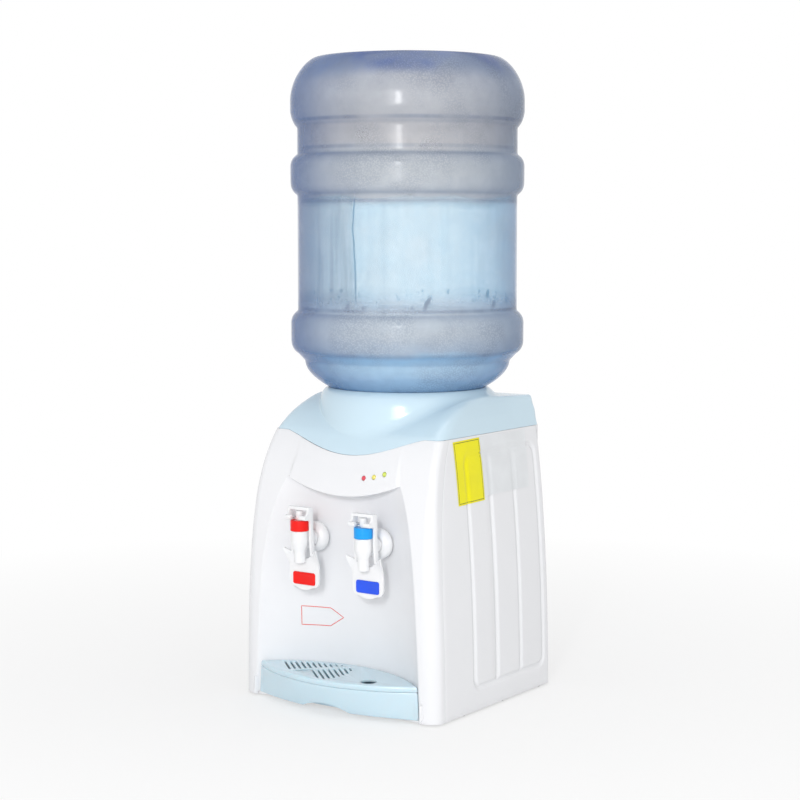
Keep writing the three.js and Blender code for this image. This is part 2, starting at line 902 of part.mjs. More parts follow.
// Outline of the bottle from the tip of its neck to the middle of its domed end.
function bottleProfile(inset) {
  const radius = bottleRadius - inset;
  const waist = bottleWaist - inset;
  const neck = neckRadius - (inset ? neckWall : 0);
  const drop = inset * 1.15;
  const neckTop = shoulderAt(neckRadius);
  const path = new THREE.Path();
  path.moveTo(neck, neckTip);
  path.lineTo(neck, neckTop - 2 * neckWall + drop);
  path.lineTo(neck + 2 * neckWall, shoulderAt(neck + 2 * neckWall) + drop);
  path.lineTo(rimRadius, shoulderAt(rimRadius) + drop);
  path.quadraticCurveTo(
    shoulderRadius - inset,
    shoulderAt(rimRadius) + (shoulderTop - shoulderAt(rimRadius)) / 2,
    shoulderRadius - inset,
    shoulderTop,
  );
  for (const low of [lowHoop, highHoop]) {
    const high = low + hoopHeight;
    path.lineTo(low === lowHoop ? waist - bottleWall : waist, low - bottleWall);
    path.quadraticCurveTo(radius, low + 3, radius, low + hoopHeight * 0.3);
    path.lineTo(radius, high - hoopHeight * 0.3);
    path.quadraticCurveTo(radius, high - 5, waist, high);
  }
  path.lineTo(waist, domeHoop);
  path.quadraticCurveTo(radius, domeHoop + 4, radius, domeHoop + hoopHeight * 0.36);
  path.lineTo(radius, domeHoop + hoopHeight * 0.6);
  path.bezierCurveTo(
    radius,
    bottleHeight - domeRise - inset,
    radius - domeRound / 3,
    bottleHeight - domeRise / 2 - inset,
    radius - domeRound,
    bottleHeight - domeFall - inset,
  );
  path.lineTo(domeTopRadius, bottleHeight - 2 - inset);
  path.lineTo(0, bottleHeight - inset);
  return path;
}

function bottle() {
  const outside = bottleProfile(0).getPoints(2);
  const inside = bottleProfile(bottleWall).getPoints(1);
  const base = [new THREE.Vector2(0, neckTip)];
  const hollowBase = [new THREE.Vector2(0, neckTip - portLength)];
  const lowered = new THREE.Vector2(inside[0].x, neckTip - portLength);
  return cut(
    turned([...base, ...outside], bottleSides),
    turned([...hollowBase, lowered, ...inside], bottleSides),
  );
}
piece("bottle", bottle(), clearBlue);

function bottleCap() {
  const inner = neckRadius + gap;
  const floor = neckTip - gap;
  return turned(
    [
      [probeRadius + play, floor - capWall],
      [inner + capWall, floor - capWall],
      [inner + capWall, floor + capSkirt],
      [inner, floor + capSkirt],
      [inner, floor],
      [probeRadius + play, floor],
    ],
    bottleSides,
  );
}
piece("bottle_cap", bottleCap(), bluePlastic);

// ------------------------------------------------------------------ base pan and feet
const footX = housingWidth / 2 - wall - gap - footRadius;
const footholds = footRows.flatMap((row, i) => [
  ["foot_" + row + "_left", -footX, footFront + i * footPitch],
  ["foot_" + row + "_right", footX, footFront + i * footPitch],
]);

function basePan() {
  const inset = wall + gap;
  const plate = prismZ(planOutline(inset), 0, panThickness, 2);
  const ringInset = inset + 2 * footRadius;
  const ring = cut(
    prismZ(planOutline(ringInset), 0, panRim, 2),
    prismZ(planOutline(ringInset + wall), -1, far, 2),
    box(-far, far, -far, bayWallY(0, 0) + wall + gap, -far, far),
  );
  const stand = turned(
    [
      [hotStandRadius - wall, panThickness / 2],
      [hotStandRadius, panThickness / 2],
      [hotStandRadius, hotTankBottom - gap],
      [hotStandRadius - wall, hotTankBottom - gap],
    ],
    12,
  );
  const holes = footholds.map(([name, x, y]) =>
    rod(footRadius / 2 + gap, [x, y, -1], [x, y, panRim], footSides),
  );
  return cut(union(plate, ring, stand), ...holes);
}
piece("base_pan", basePan(), whitePlastic);

for (const [name, x, y] of footholds) {
  const stud = footRadius / 2;
  const foot = turned(
    [
      [0, -footHeight],
      [footRadius * 0.9, -footHeight],
      [footRadius, -gap],
      [stud, -gap],
      [stud, panThickness + gap],
      [stud * 1.4, panThickness + gap],
      [0, panThickness + footHeight],
    ],
    footSides,
    x,
    y,
  );
  piece(name, foot, blackRubber);
}

// ------------------------------------------------------------------ drip tray and grille
const trayLow = panThickness + gap;
const grilleLow = trayHeight - grilleHeight;

// Plan of the tray at a height: the back follows the bay, the front bulges towards the user.
function trayOutline(z, bulge, inset) {
  const clear = play + inset;
  const radius = bayRadius - clear;
  const centre = bayCentre - bayLean * z;
  const front = -housingFront;
  const half = Math.sqrt(radius ** 2 - (front - centre) ** 2);
  const edge = Math.atan2(front - centre, half);
  const points = [];
  const backSteps = 8;
  for (let i = 0; i <= backSteps; i += 1) {
    const angle = edge + ((Math.PI - 2 * edge) * i) / backSteps;
    points.push(new THREE.Vector2(radius * Math.cos(angle), centre + radius * Math.sin(angle)));
  }
  const width = half;
  const depth = bulge - inset;
  const round = trayCorner;
  const arc = (width ** 2 + depth ** 2) / (2 * depth);
  const middle = front - depth + arc;
  const sweep = Math.asin((width - round * 0.35) / arc);
  const frontSteps = 12;
  points.push(new THREE.Vector2(-half, front - round * 0.12));
  for (let i = 0; i <= frontSteps; i += 1) {
    const angle = -sweep + (2 * sweep * i) / frontSteps;
    points.push(new THREE.Vector2(arc * Math.sin(angle), middle - arc * Math.cos(angle)));
  }
  points.push(new THREE.Vector2(half, front - round * 0.12));
  return points;
}

const bulgeAt = (z) =>
  trayBulgeBottom + ((trayBulgeTop - trayBulgeBottom) * (z - trayLow)) / (trayHeight - trayLow);

function trayForm(low, high, inset) {
  return loft(
    trayOutline(low, bulgeAt(low), inset),
    low,
    trayOutline(high, bulgeAt(high), inset),
    high,
  );
}

// Low arch in the underside of the tray's front, for the fingers that pull it out.
function fingerArch(grow) {
  const shape = new THREE.Shape();
  const half = archHalfWidth + grow;
  const top = trayLow + archHeight + grow;
  shape.moveTo(half, -archHeight);
  shape.lineTo(half, trayLow);
  shape.quadraticCurveTo(half * 0.5, top, 0, top);
  shape.quadraticCurveTo(-half * 0.5, top, -half, trayLow);
  shape.lineTo(-half, -archHeight);
  return prismY(shape, -2 * housingFront, -housingFront - 2 * wall + grow, 4);
}

function dripTray() {
  const body = trayForm(trayLow, grilleLow - gap, 0);
  const hollow = cut(
    trayForm(trayLow + trayWall, grilleLow + wall, trayWall),
    fingerArch(trayWall),
  );
  return cut(body, hollow, fingerArch(0));
}
piece("drip_tray", dripTray(), blueAbs);

// Where a slot line, at a distance along the row, meets the edge of the slotted field.
function slotEnds(shift) {
  const angle = THREE.MathUtils.degToRad(slotAngle);
  const along = [Math.cos(angle), -Math.sin(angle)];
  const start = [
    slotFieldX + shift * Math.sin(angle),
    slotFieldY + shift * Math.cos(angle),
  ];
  const inside = ([x, y]) => {
    const back = bayWallY(x, trayHeight) - play - y;
    const front = y + housingFront + trayBulgeTop * (1 - (x / bayHalfWidth(trayHeight)) ** 2);
    const round = slotFieldRadius - Math.hypot(x - slotFieldX, y - slotFieldY);
    return Math.min(back - slotMargin, front - slotMargin, round) > 0;
  };
  const at = (s) => [start[0] + s * along[0], start[1] + s * along[1]];
  let low = 0;
  let high = 0;
  while (low > -2 * slotFieldRadius && inside(at(low - 1))) low -= 1;
  while (high < 2 * slotFieldRadius && inside(at(high + 1))) high += 1;
  return { at, low, high };
}

// One round-ended slot between two points of the plan.
function slotTool(from, to) {
  const length = Math.hypot(to[0] - from[0], to[1] - from[1]);
  const angle = Math.atan2(to[1] - from[1], to[0] - from[0]);
  const shape = new THREE.Shape();
  const r = slotWidth / 2;
  shape.absarc(length - r, 0, r, -Math.PI / 2, Math.PI / 2, false);
  shape.absarc(r, 0, r, Math.PI / 2, (3 * Math.PI) / 2, false);
  const geometry = prism(shape, grilleLow, trayHeight + 1, 1);
  return solid(geometry.rotateZ(angle).translate(from[0], from[1], grilleLow));
}

function dripGrille() {
  const plate = cut(
    trayForm(grilleLow, trayHeight, 0),
    trayForm(grilleLow - wall, trayHeight - trayWall, trayWall),
  );
  const lip = cut(
    trayForm(grilleLow - trayWall, trayHeight - trayWall / 2, trayWall + play),
    trayForm(grilleLow - wall, trayHeight - trayWall, 2 * trayWall),
  );
  const tools = [];
  const half = Math.floor(slotFieldRadius / slotPitch);
  for (let i = -half; i <= half; i += 1) {
    const { at, low, high } = slotEnds(i * slotPitch);
    const rib = drainRib / 2;
    if (-rib - low > slotWidth) tools.push(slotTool(at(low), at(-rib)));
    if (i > 0 && high - rib > slotWidth) tools.push(slotTool(at(rib), at(high)));
  }
  const drain = new THREE.Shape();
  drain.absellipse(0, 0, 1.2 * drainRib, 0.45 * drainRib, 0, 2 * Math.PI);
  const turn = THREE.MathUtils.degToRad(90 - slotAngle);
  const drainTool = solid(
    prism(drain, grilleLow, trayHeight + 1, 6)
      .rotateZ(turn)
      .translate(slotFieldX - drainRib * 0.45, slotFieldY - drainRib * 0.55, grilleLow),
  );
  const liftY = -(housingFront + trayBulgeTop) + liftHoleInset;
  const liftHole = rod(
    liftHoleRadius,
    [liftHoleX, liftY, grilleLow - wall],
    [liftHoleX, liftY, trayHeight + 1],
    12,
  );
  return cut(union(plate, lip), ...tools, drainTool, liftHole);
}
piece("drip_grille", dripGrille(), blueAbs);

// ------------------------------------------------------------------ taps
const seatTop = spoutBottom + spoutLength + (barrelRadius - spoutRadius) * 2.4;
const barrelBore = barrelRadius - barrelWall;
const barrelTop = capBottom + capHeight - capTop - gap;
const spigotEnd = bossBack + nutThickness + spigotTail;
const flangeFront = bossFace - gap - flangeThickness;
const pivotHeight = capBottom + capHeight + pivotRise;
const armBend = capBottom + capHeight - pivotRise;
const stemFoot = seatTop + plugHeight;

function tapBody() {
  const barrel = turned(
    [
      [0, spoutBottom],
      [spoutRadius, spoutBottom],
      [spoutRadius, spoutBottom + spoutLength],
      [barrelRadius, seatTop],
      [barrelRadius, capBottom - gap],
      [barrelRadius - barrelWall / 2, capBottom - gap],
      [barrelRadius - barrelWall / 2, barrelTop],
      [0, barrelTop],
    ],
    tapSides,
    0,
    tapY,
  );
  const bore = turned(
    [
      [0, spoutBottom - 1],
      [spoutBore, spoutBottom - 1],
      [spoutBore, seatTop - barrelWall],
      [barrelBore, seatTop],
      [barrelBore, far],
      [0, far],
    ],
    tapSides,
    0,
    tapY,
  );
  const spigot = union(
    rod(spigotRadius, [0, tapY, spigotHeight], [0, spigotEnd - spigotTail, spigotHeight], 10),
    rod(spigotRadius * 1.25, [0, tapY, spigotHeight], [0, flangeFront - gap, spigotHeight], 10),
    rod(portRadius, [0, tapY, spigotHeight], [0, spigotEnd, spigotHeight], 6),
  );
  const passage = rod(
    portRadius - tankWall,
    [0, tapY, spigotHeight],
    [0, spigotEnd + 1, spigotHeight],
    4,
  );
  return cut(union(barrel, spigot), bore, passage);
}

// Coloured cap ring screwed onto the barrel.
function tapCap() {
  const top = capBottom + capHeight;
  return turned(
    [
      [barrelRadius - barrelWall / 2 + gap, capBottom],
      [capRadius, capBottom],
      [capRadius, top - 1],
      [capRadius - 1, top],
      [stemRadius + gap, top],
      [stemRadius + gap, top - capTop],
      [barrelRadius - barrelWall / 2 + gap, top - capTop],
    ],
    tapSides,
    0,
    tapY,
  );
}

// Domed escutcheon between the bay wall and the tap.
function tapFlange() {
  return turnedY(
    [
      [spigotRadius + gap, bossFace - gap],
      [spigotRadius + gap, flangeFront],
      [flangeRadius * 0.6, flangeFront],
      [flangeRadius * 0.86, flangeFront + flangeThickness * 0.3],
      [flangeRadius, flangeFront + flangeThickness * 0.75],
      [flangeRadius, bossFace - gap],
    ],
    0,
    spigotHeight,
    14,
  );
}

// Hexagonal nut that clamps the tap from inside the housing.
function tapNut() {
  const hex = new THREE.Shape();
  for (let i = 0; i < 6; i += 1) {
    const angle = (Math.PI * i) / 3;
    hex.lineTo(nutRadius * Math.cos(angle), nutRadius * Math.sin(angle));
  }
  const body = prismY(hex, bossBack + gap, bossBack + gap + nutThickness);
  return cut(
    body.translate([0, 0, spigotHeight]),
    rod(spigotRadius + gap, [0, tapY, spigotHeight], [0, far, spigotHeight], 10),
  );
}

// Silicone plug that closes the valve seat, and the stem that lifts it.
function valvePlug() {
  return turned(
    [
      [0, seatTop - barrelWall + 2 * gap],
      [spoutBore - gap, seatTop - barrelWall + 2 * gap],
      [barrelBore - 2 * gap, seatTop + gap],
      [barrelBore - 2 * gap, seatTop + barrelWall],
      [stemRadius, stemFoot],
      [0, stemFoot],
    ],
    8,
    0,
    tapY,
  );
}

function tapStem() {
  const shaft = turned(
    [
      [0, stemFoot + gap],
      [stemRadius, stemFoot + gap],
      [stemRadius, stemTop - 1],
      [stemRadius - 1, stemTop],
      [0, stemTop],
    ],
    8,
    0,
    tapY,
  );
  const room = pinRadius + gap;
  const slot = box(
    -far,
    far,
    tapY - room - gap,
    tapY + room + gap,
    pivotHeight - room,
    pivotHeight + room,
  );
  return cut(shaft, slot);
}

function tapSpring() {
  const low = stemFoot + springWire + gap;
  const high = capBottom + capHeight - capTop - springWire - gap;
  const points = [];
  const perTurn = 5;
  for (let i = 0; i <= springTurns * perTurn; i += 1) {
    const angle = (2 * Math.PI * i) / perTurn;
    const share = i / (springTurns * perTurn);
    points.push([
      springRadius * Math.cos(angle),
      tapY + springRadius * Math.sin(angle),
      low + (high - low) * share,
    ]);
  }
  return swept(points, springWire, 2, springTurns * perTurn);
}

// ------------------------------------------------------------------ tap levers
const pivotY = tapY - pivotForward;
const cheekOutside = cheekInside + cheekThickness;
const curlFrom = plateBottom + plateHeight + 2 * plateCorner;

// Middle surface of the paddle: flat below, behind the spout above, its sides curled forward.
const paddleY = (x, z) => {
  const clear = spoutRadius + 2 * play + paddleThickness / 2;
  const shift = smooth((z - plateBottom - plateHeight) / (spoutBottom - plateBottom - plateHeight));
  const back = tapY + paddleBack + shift * (clear - paddleBack);
  return back - wingCurl * smooth((z - curlFrom) / (wingTip - curlFrom)) * (x / wingHalfWidth) ** 2;
};

// Share of the rounded lower end that a height still has under it.
const cornerBottom = paddleBottom + paddleSag;
const cornerShare = (z) => Math.max(cornerBottom + paddleRound - z, 0) / paddleRound;

// Half width of the paddle: rounded corners, straight beside the plate, flared to the wings.
const paddleHalf = (z) => {
  const corner = paddleRound * (1 - Math.sqrt(1 - cornerShare(z) ** 2));
  const flare = smooth((z - curlFrom) / (wingTip - curlFrom));
  const above = Math.max(z - wingTip, 0);
  return paddleHalfWidth - corner + (wingHalfWidth - paddleHalfWidth) * flare - 2 * above;
};

function paddle() {
  const us = [-1, -0.5, 0.5, 1];
  const round = [0, 0.3, 1].map((t) => cornerBottom + t * paddleRound);
  const straight = [plateBottom + plateHeight, spoutBottom];
  const flare = [0.6, 1].map((t) => curlFrom + t * (wingTip - curlFrom));
  const vs = [...round, ...straight, ...flare, wingTip + 1.5];
  const plate = bentPlate(us, vs, paddleThickness, (u, z) => {
    const x = u * paddleHalf(z);
    return [x, paddleY(x, z), z - paddleSag * (1 - u ** 2) * cornerShare(z)];
  });
  const notch = new THREE.Shape();
  const half = cheekInside - gap;
  notch.moveTo(half, far);
  notch.lineTo(half, notchBottom + half * 0.6);
  notch.quadraticCurveTo(half, notchBottom, 0, notchBottom);
  notch.quadraticCurveTo(-half, notchBottom, -half, notchBottom + half * 0.6);
  notch.lineTo(-half, far);
  return cut(plate, prismY(notch, -far, 0, 2));
}

function tapLever() {
  const cheekShape = new THREE.Shape();
  const low = notchBottom + 2;
  const lowY = paddleY(cheekOutside, low);
  const depth = cheekHalfDepth;
  cheekShape.moveTo(lowY - paddleThickness, low);
  cheekShape.lineTo(lowY + paddleThickness, low);
  cheekShape.quadraticCurveTo(tapY + depth + 2, spigotHeight, tapY + depth, capBottom);
  cheekShape.lineTo(tapY + depth, yokeTop - 2);
  cheekShape.quadraticCurveTo(tapY + depth, yokeTop, tapY + depth - 2, yokeTop);
  cheekShape.lineTo(tapY - depth, yokeTop);
  cheekShape.quadraticCurveTo(pivotY - 3, yokeTop - 2, pivotY - 3, pivotHeight);
  cheekShape.lineTo(pivotY - 2, capBottom + capHeight + gap);
  cheekShape.quadraticCurveTo(tapY + armFront, capBottom + capHeight, tapY + armFront, armBend);
  cheekShape.lineTo(tapY + armFront, spigotHeight);
  const cheek = prismX(cheekShape, cheekInside, cheekOutside, 2);
  const lug = rod(
    pivotRise - gap,
    [capRadius * 0.5, pivotY, pivotHeight],
    [cheekOutside, pivotY, pivotHeight],
    8,
  );
  const halfLever = union(cheek, lug);
  const bar = box(
    -cheekOutside,
    cheekOutside,
    tapY - depth,
    tapY + depth * 0.7,
    yokeTop - yokeBar,
    yokeTop,
  );
  const whole = union(halfLever, halfLever.mirror([1, 0, 0]), bar, paddle());
  const pinHole = rod(
    pinRadius + gap / 2,
    [-far, tapY, pivotHeight],
    [far, tapY, pivotHeight],
    8,
  );
  return cut(whole, pinHole, plateBlock(gap, plateThickness));
}

function plateOutline(grow) {
  const half = plateWidth / 2 + grow;
  const low = plateBottom - grow;
  const high = plateBottom + plateHeight + grow;
  const r = plateCorner + grow;
  const turn = Math.PI / 2;
  const shape = new THREE.Shape();
  shape.absarc(half - r, low + r, r, -turn, 0, false);
  shape.absarc(half - r, high - r, r, 0, turn, false);
  shape.absarc(-half + r, high - r, r, turn, 2 * turn, false);
  shape.absarc(-half + r, low + r, r, 2 * turn, 3 * turn, false);
  return shape;
}

// The coloured plate let into the paddle, or with a clearance the recess for it.
const paddleFace = tapY + paddleBack - paddleThickness / 2;
function plateBlock(grow, depth) {
  const seat = paddleFace + plateThickness / 2;
  const back = seat - (grow ? 0 : gap);
  return prismY(plateOutline(grow), back - depth, back, 2);
}

const tapPieces = [
  ["tap_body", tapBody(), { hot: whitePlastic, cold: whitePlastic }],
  ["tap_flange", tapFlange(), { hot: whitePlastic, cold: whitePlastic }],
  ["tap_nut", tapNut(), { hot: whitePlastic, cold: whitePlastic }],
  ["tap_cap", tapCap(), { hot: redPlastic, cold: azurePlastic }],
  ["valve_plug", valvePlug(), { hot: silicone, cold: silicone }],
  ["tap_stem", tapStem(), { hot: whitePlastic, cold: whitePlastic }],
  ["tap_spring", tapSpring(), { hot: steel, cold: steel }],
  ["tap_lever", tapLever(), { hot: whitePlastic, cold: whitePlastic }],
  ["lever_plate", plateBlock(0, plateThickness), { hot: redPlastic, cold: bluePlastic }],
  [
    "lever_pin",
    rod(
      pinRadius,
      [-cheekOutside + gap, tapY, pivotHeight],
      [cheekOutside - gap, tapY, pivotHeight],
      8,
    ),
    { hot: steel, cold: steel },
  ],
];
for (const [side, sign] of Object.entries(sides)) {
  const tap = new THREE.Group();
  tap.position.x = sign * tapX;
  housing.add(tap);
  for (const [name, body, looks] of tapPieces) piece(side + "_" + name, body, looks[side], tap);
}

// ------------------------------------------------------------------ tanks, heater and tubes
// A thin-walled round tank on the bottle's axis; the ports are stubs given by start and end points.
function tank(radius, bottom, top, ports, mouth) {
  const dish = radius * 0.25;
  const skin = (inset) =>
    turned(
      [
        [0, bottom + inset],
        [radius * 0.6, bottom + inset],
        [radius - inset, bottom + dish],
        [radius - inset, top - dish * 0.4],
        [radius * 0.8, top - inset],
        [0, top - inset],
      ],
      tankSides,
    );
  const stubs = ports.map(([from, to]) => rod(portRadius, from, to, 6));
  const bores = ports.map(([from, to]) => rod(portRadius - tankWall, from, to, 4));
  const openings = mouth ? [rod(mouth, [0, 0, bottom + dish], [0, 0, top + 1], 16)] : [];
  return cut(union(skin(0), ...stubs), skin(tankWall), ...bores, ...openings);
}

const coldTankTop = wellFloor - seatWall - gap;
const drawWallY = (radius) => -Math.sqrt(radius ** 2 - (drawX - tubeRadius) ** 2);
const drawTip = (radius) => drawWallY(radius) - portLength;

// Port on a tank's front that feeds a tap.
const drawPort = (x, radius, z) => [
  [x, drawWallY(radius) + 2 * portRadius, z],
  [x, drawTip(radius), z],
];
const coldDrawZ = coldTankBottom + drawDrop;
const hotDrawZ = hotTankTop - drawDrop;

piece(
  "cold_tank",
  tank(
    coldTankRadius,
    coldTankBottom,
    coldTankTop,
    [
      drawPort(drawX, coldTankRadius, coldDrawZ),
      [
        [0, 0, coldTankBottom + 2 * tankWall],
        [0, 0, coldTankBottom - portLength],
      ],
    ],
    probeRadius + gap,
  ),
  steel,
);
piece(
  "hot_tank",
  tank(hotTankRadius, hotTankBottom, hotTankTop, [
    drawPort(-drawX, hotTankRadius, hotDrawZ),
    [
      [0, 0, hotTankTop - 2 * tankWall],
      [0, 0, hotTankTop + portLength],
    ],
    [
      [0, hotTankRadius - 2 * portRadius, drainZ],
      [0, hotTankRadius + portLength, drainZ],
    ],
  ]),
  steel,
);

const heaterLow = (hotTankTop + hotTankBottom - heaterHeight) / 2;
piece(
  "heater_band",
  turned(
    [
      [hotTankRadius + gap, heaterLow],
      [hotTankRadius + heaterThickness, heaterLow],
      [hotTankRadius + heaterThickness, heaterLow + heaterHeight],
      [hotTankRadius + gap, heaterLow + heaterHeight],
    ],
    tankSides,
  ),
  ceramic,
);

// Silicone tube from a tap's tail to the port that feeds it, straight over both stubs.
const tubeStart = bossBack + nutThickness + 6 * gap;
function tapTube(sign, between, radius, z) {
  const points = [
    [sign * tapX, tubeStart, spigotHeight],
    [sign * tapX, tubeStart + portLength, spigotHeight],
    [sign * tapX, tubeStart + 1.7 * portLength, spigotHeight],
    ...between,
    [sign * drawX, drawTip(radius) - portLength, z],
    [sign * drawX, drawTip(radius) - portRadius, z],
    [sign * drawX, drawWallY(radius) - 4 * gap, z],
  ];
  const steps = points.length + 3;
  return cut(swept(points, tubeRadius, 3, steps), swept(points, tubeBore, 3, steps));
}
const riserY = tubeStart + 3 * portLength;
piece("cold_tube", tapTube(1, [], coldTankRadius, coldDrawZ), silicone);
piece(
  "hot_tube",
  tapTube(
    -1,
    [
      [-tapX, riserY, spigotHeight - portLength],
      [-tapX, riserY, (spigotHeight + hotDrawZ) / 2],
      [-(tapX + drawX) / 2, riserY, hotDrawZ + portLength],
    ],
    hotTankRadius,
    hotDrawZ,
  ),
  silicone,
);

// Straight sleeves: from the cold tank down to the hot tank, and from the hot tank to the drain.
piece(
  "feed_tube",
  turned(
    [
      [tubeBore, hotTankTop + 2 * gap],
      [tubeRadius, hotTankTop + 2 * gap],
      [tubeRadius, coldTankBottom - 2 * gap],
      [tubeBore, coldTankBottom - 2 * gap],
    ],
    8,
  ),
  silicone,
);
const drainInside = housingRear - 5 * wall;
piece(
  "drain_tube",
  turnedY(
    [
      [tubeBore, hotTankRadius + 2 * gap],
      [tubeRadius, hotTankRadius + 2 * gap],
      [tubeRadius, drainInside - gap],
      [tubeBore, drainInside - gap],
    ],
    0,
    drainZ,
    8,
  ),
  silicone,
);

// ------------------------------------------------------------------ thermoelectric cooler
const blockBack = coldTankRadius + blockDepth;
const peltierFront = blockBack + gap;
const sinkFront = peltierFront + peltierDepth + gap;
const fanFront = sinkFront + sinkDepth + gap;
const fanBack = fanFront + fanDepth;

piece(
  "cold_block",
  cut(
    box(-coolerHalf, coolerHalf, 0, blockBack, coolerZ - coolerHalf, coolerZ + coolerHalf),
    rod(coldTankRadius + gap, [0, 0, coldTankBottom], [0, 0, coldTankTop], 36),
  ),
  aluminium,
);
piece(
  "peltier_module",
  box(
    -coolerHalf,
    coolerHalf,
    peltierFront,
    peltierFront + peltierDepth,
    coolerZ - coolerHalf,
    coolerZ + coolerHalf,
  ),
  ceramic,
);

function heatSink() {
  const base = box(
    -sinkHalf,
    sinkHalf,
    sinkFront,
    sinkFront + sinkBase,
    coolerZ - sinkHalf,
    coolerZ + sinkHalf,
  );
  const fins = [];
  for (let i = 0; i < sinkFins; i += 1) {
    const x = -sinkHalf + finThickness / 2 + ((2 * sinkHalf - finThickness) * i) / (sinkFins - 1);
    fins.push(
      box(
        x - finThickness / 2,
        x + finThickness / 2,
        sinkFront + sinkBase / 2,
        sinkFront + sinkDepth,
        coolerZ - sinkHalf,
        coolerZ + sinkHalf,
      ),
    );
  }
  return union(base, ...fins);
}
piece("heat_sink", heatSink(), aluminium);

// Fan frame: square frame with a spider behind the rotor; the rotor turns about Y.
function fanFrame() {
  const frame = box(-sinkHalf, sinkHalf, fanFront, fanBack, coolerZ - sinkHalf, coolerZ + sinkHalf);
  const throat = rod(fanRadius + 2 * gap, [0, 0, coolerZ], [0, fanBack + 1, coolerZ], 16);
  const spokeHalf = wall / 2;
  const spider = union(
    box(-sinkHalf, sinkHalf, fanFront, fanFront + wall, coolerZ - spokeHalf, coolerZ + spokeHalf),
    box(-spokeHalf, spokeHalf, fanFront, fanFront + wall, coolerZ - sinkHalf, coolerZ + sinkHalf),
    rod(fanHub * 0.8, [0, fanFront, coolerZ], [0, fanFront + wall, coolerZ], 10),
  );
  return union(cut(frame, throat), spider);
}
piece("fan_frame", fanFrame(), greyPlastic);

function fanRotor() {
  const low = fanFront + wall + 2 * gap;
  const high = fanBack - 2 * gap;
  const hub = rod(fanHub, [0, low, coolerZ], [0, high, coolerZ], 10);
  const blades = [];
  for (let i = 0; i < fanBlades; i += 1) {
    const blade = new THREE.BoxGeometry(fanRadius - gap - fanHub / 2, wall / 2, (high - low) * 0.9);
    blade
      .translate((fanRadius - gap + fanHub / 2) / 2, 0, 0)
      .rotateX(0.75)
      .rotateZ((2 * Math.PI * i) / fanBlades)
      .rotateX(Math.PI / 2)
      .translate(0, (low + high) / 2, coolerZ);
    blades.push(solid(blade));
  }
  return union(hub, ...blades);
}
piece("fan_rotor", fanRotor(), greyPlastic);

// ------------------------------------------------------------------ electrics and drain
const boardX = housingWidth / 2 - boardInset - boardWidth / 2;
const boardLow = panThickness + 3 * wall;
function controlBoard() {
  const card = box(
    boardX - boardWidth / 2,
    boardX + boardWidth / 2,
    -boardLength / 2,
    boardLength / 2,
    boardLow,
    boardLow + wall / 2,
  );
  const block = (x, y, w, l, h) =>
    box(
      boardX + x - w / 2,
      boardX + x + w / 2,
      y - l / 2,
      y + l / 2,
      boardLow + wall / 4,
      boardLow + h,
    );
  const posts = [];
  for (const x of [-1, 1]) {
    for (const y of [-1, 1]) {
      const px = boardX + (x * boardWidth * 0.42);
      const py = y * boardLength * 0.42;
      posts.push(rod(wall, [px, py, panThickness + gap], [px, py, boardLow + wall / 4], 8));
    }
  }
  return union(
    card,
    block(-boardWidth * 0.2, 0, boardWidth * 0.45, boardLength * 0.4, boardHeight),
    block(
      boardWidth * 0.28,
      boardLength * 0.2,
      boardWidth * 0.25,
      boardLength * 0.3,
      boardHeight * 0.7,
    ),
    ...posts,
  );
}
piece("control_board", controlBoard(), circuitGreen);

// Rocker switches: a bezel snapped into the rear panel, and the rocker that tilts in it.
const switchNames = ["hot_switch", "cold_switch"];
const bezelOut = housingRear + wall / 2;
function switchBezel(x) {
  const frame = union(
    box(
      x - switchWidth / 2,
      x + switchWidth / 2,
      housingRear - 4 * wall,
      housingRear + gap,
      switchZ - switchHeight / 2,
      switchZ + switchHeight / 2,
    ),
    box(
      x - switchWidth / 2 - wall / 2,
      x + switchWidth / 2 + wall / 2,
      housingRear + gap,
      bezelOut + gap,
      switchZ - switchHeight / 2 - wall / 2,
      switchZ + switchHeight / 2 + wall / 2,
    ),
  );
  const window = box(
    x - switchWidth / 2 + wall / 2,
    x + switchWidth / 2 - wall / 2,
    housingRear - 3 * wall,
    far,
    switchZ - switchHeight / 2 + wall / 2,
    switchZ + switchHeight / 2 - wall / 2,
  );
  return cut(frame, window);
}
function switchRocker(x) {
  const half = switchHeight / 2 - wall / 2 - 2 * play;
  const rockerShape = outline([
    [housingRear - 2 * wall, switchZ - half * 0.5],
    [housingRear - wall / 2, switchZ - half],
    [bezelOut + gap, switchZ - half],
    [bezelOut - gap, switchZ],
    [bezelOut + wall, switchZ + half],
    [housingRear - wall / 2, switchZ + half],
    [housingRear - 2 * wall, switchZ + half * 0.5],
  ]);
  const inner = switchWidth / 2 - wall / 2 - gap;
  return prismX(rockerShape, x - inner, x + inner);
}
switchNames.forEach((name, i) => {
  const x = switchX - i * switchPitch;
  piece(name + "_bezel", switchBezel(x), greyPlastic);
  piece(name + "_rocker", switchRocker(x), i === 0 ? redPlastic : greenPlastic);
});

// Bush in the rear panel where the supply cord enters.
piece(
  "cord_gland",
  turnedY(
    [
      [glandBore, housingRear - 3 * wall],
      [glandSeat, housingRear - 3 * wall],
      [glandSeat, housingRear + gap],
      [glandRadius, housingRear + gap],
      [glandRadius - wall / 2, housingRear + 2 * wall],
      [glandBore, housingRear + 2 * wall],
    ],
    glandX,
    glandZ,
    12,
  ),
  greyPlastic,
);

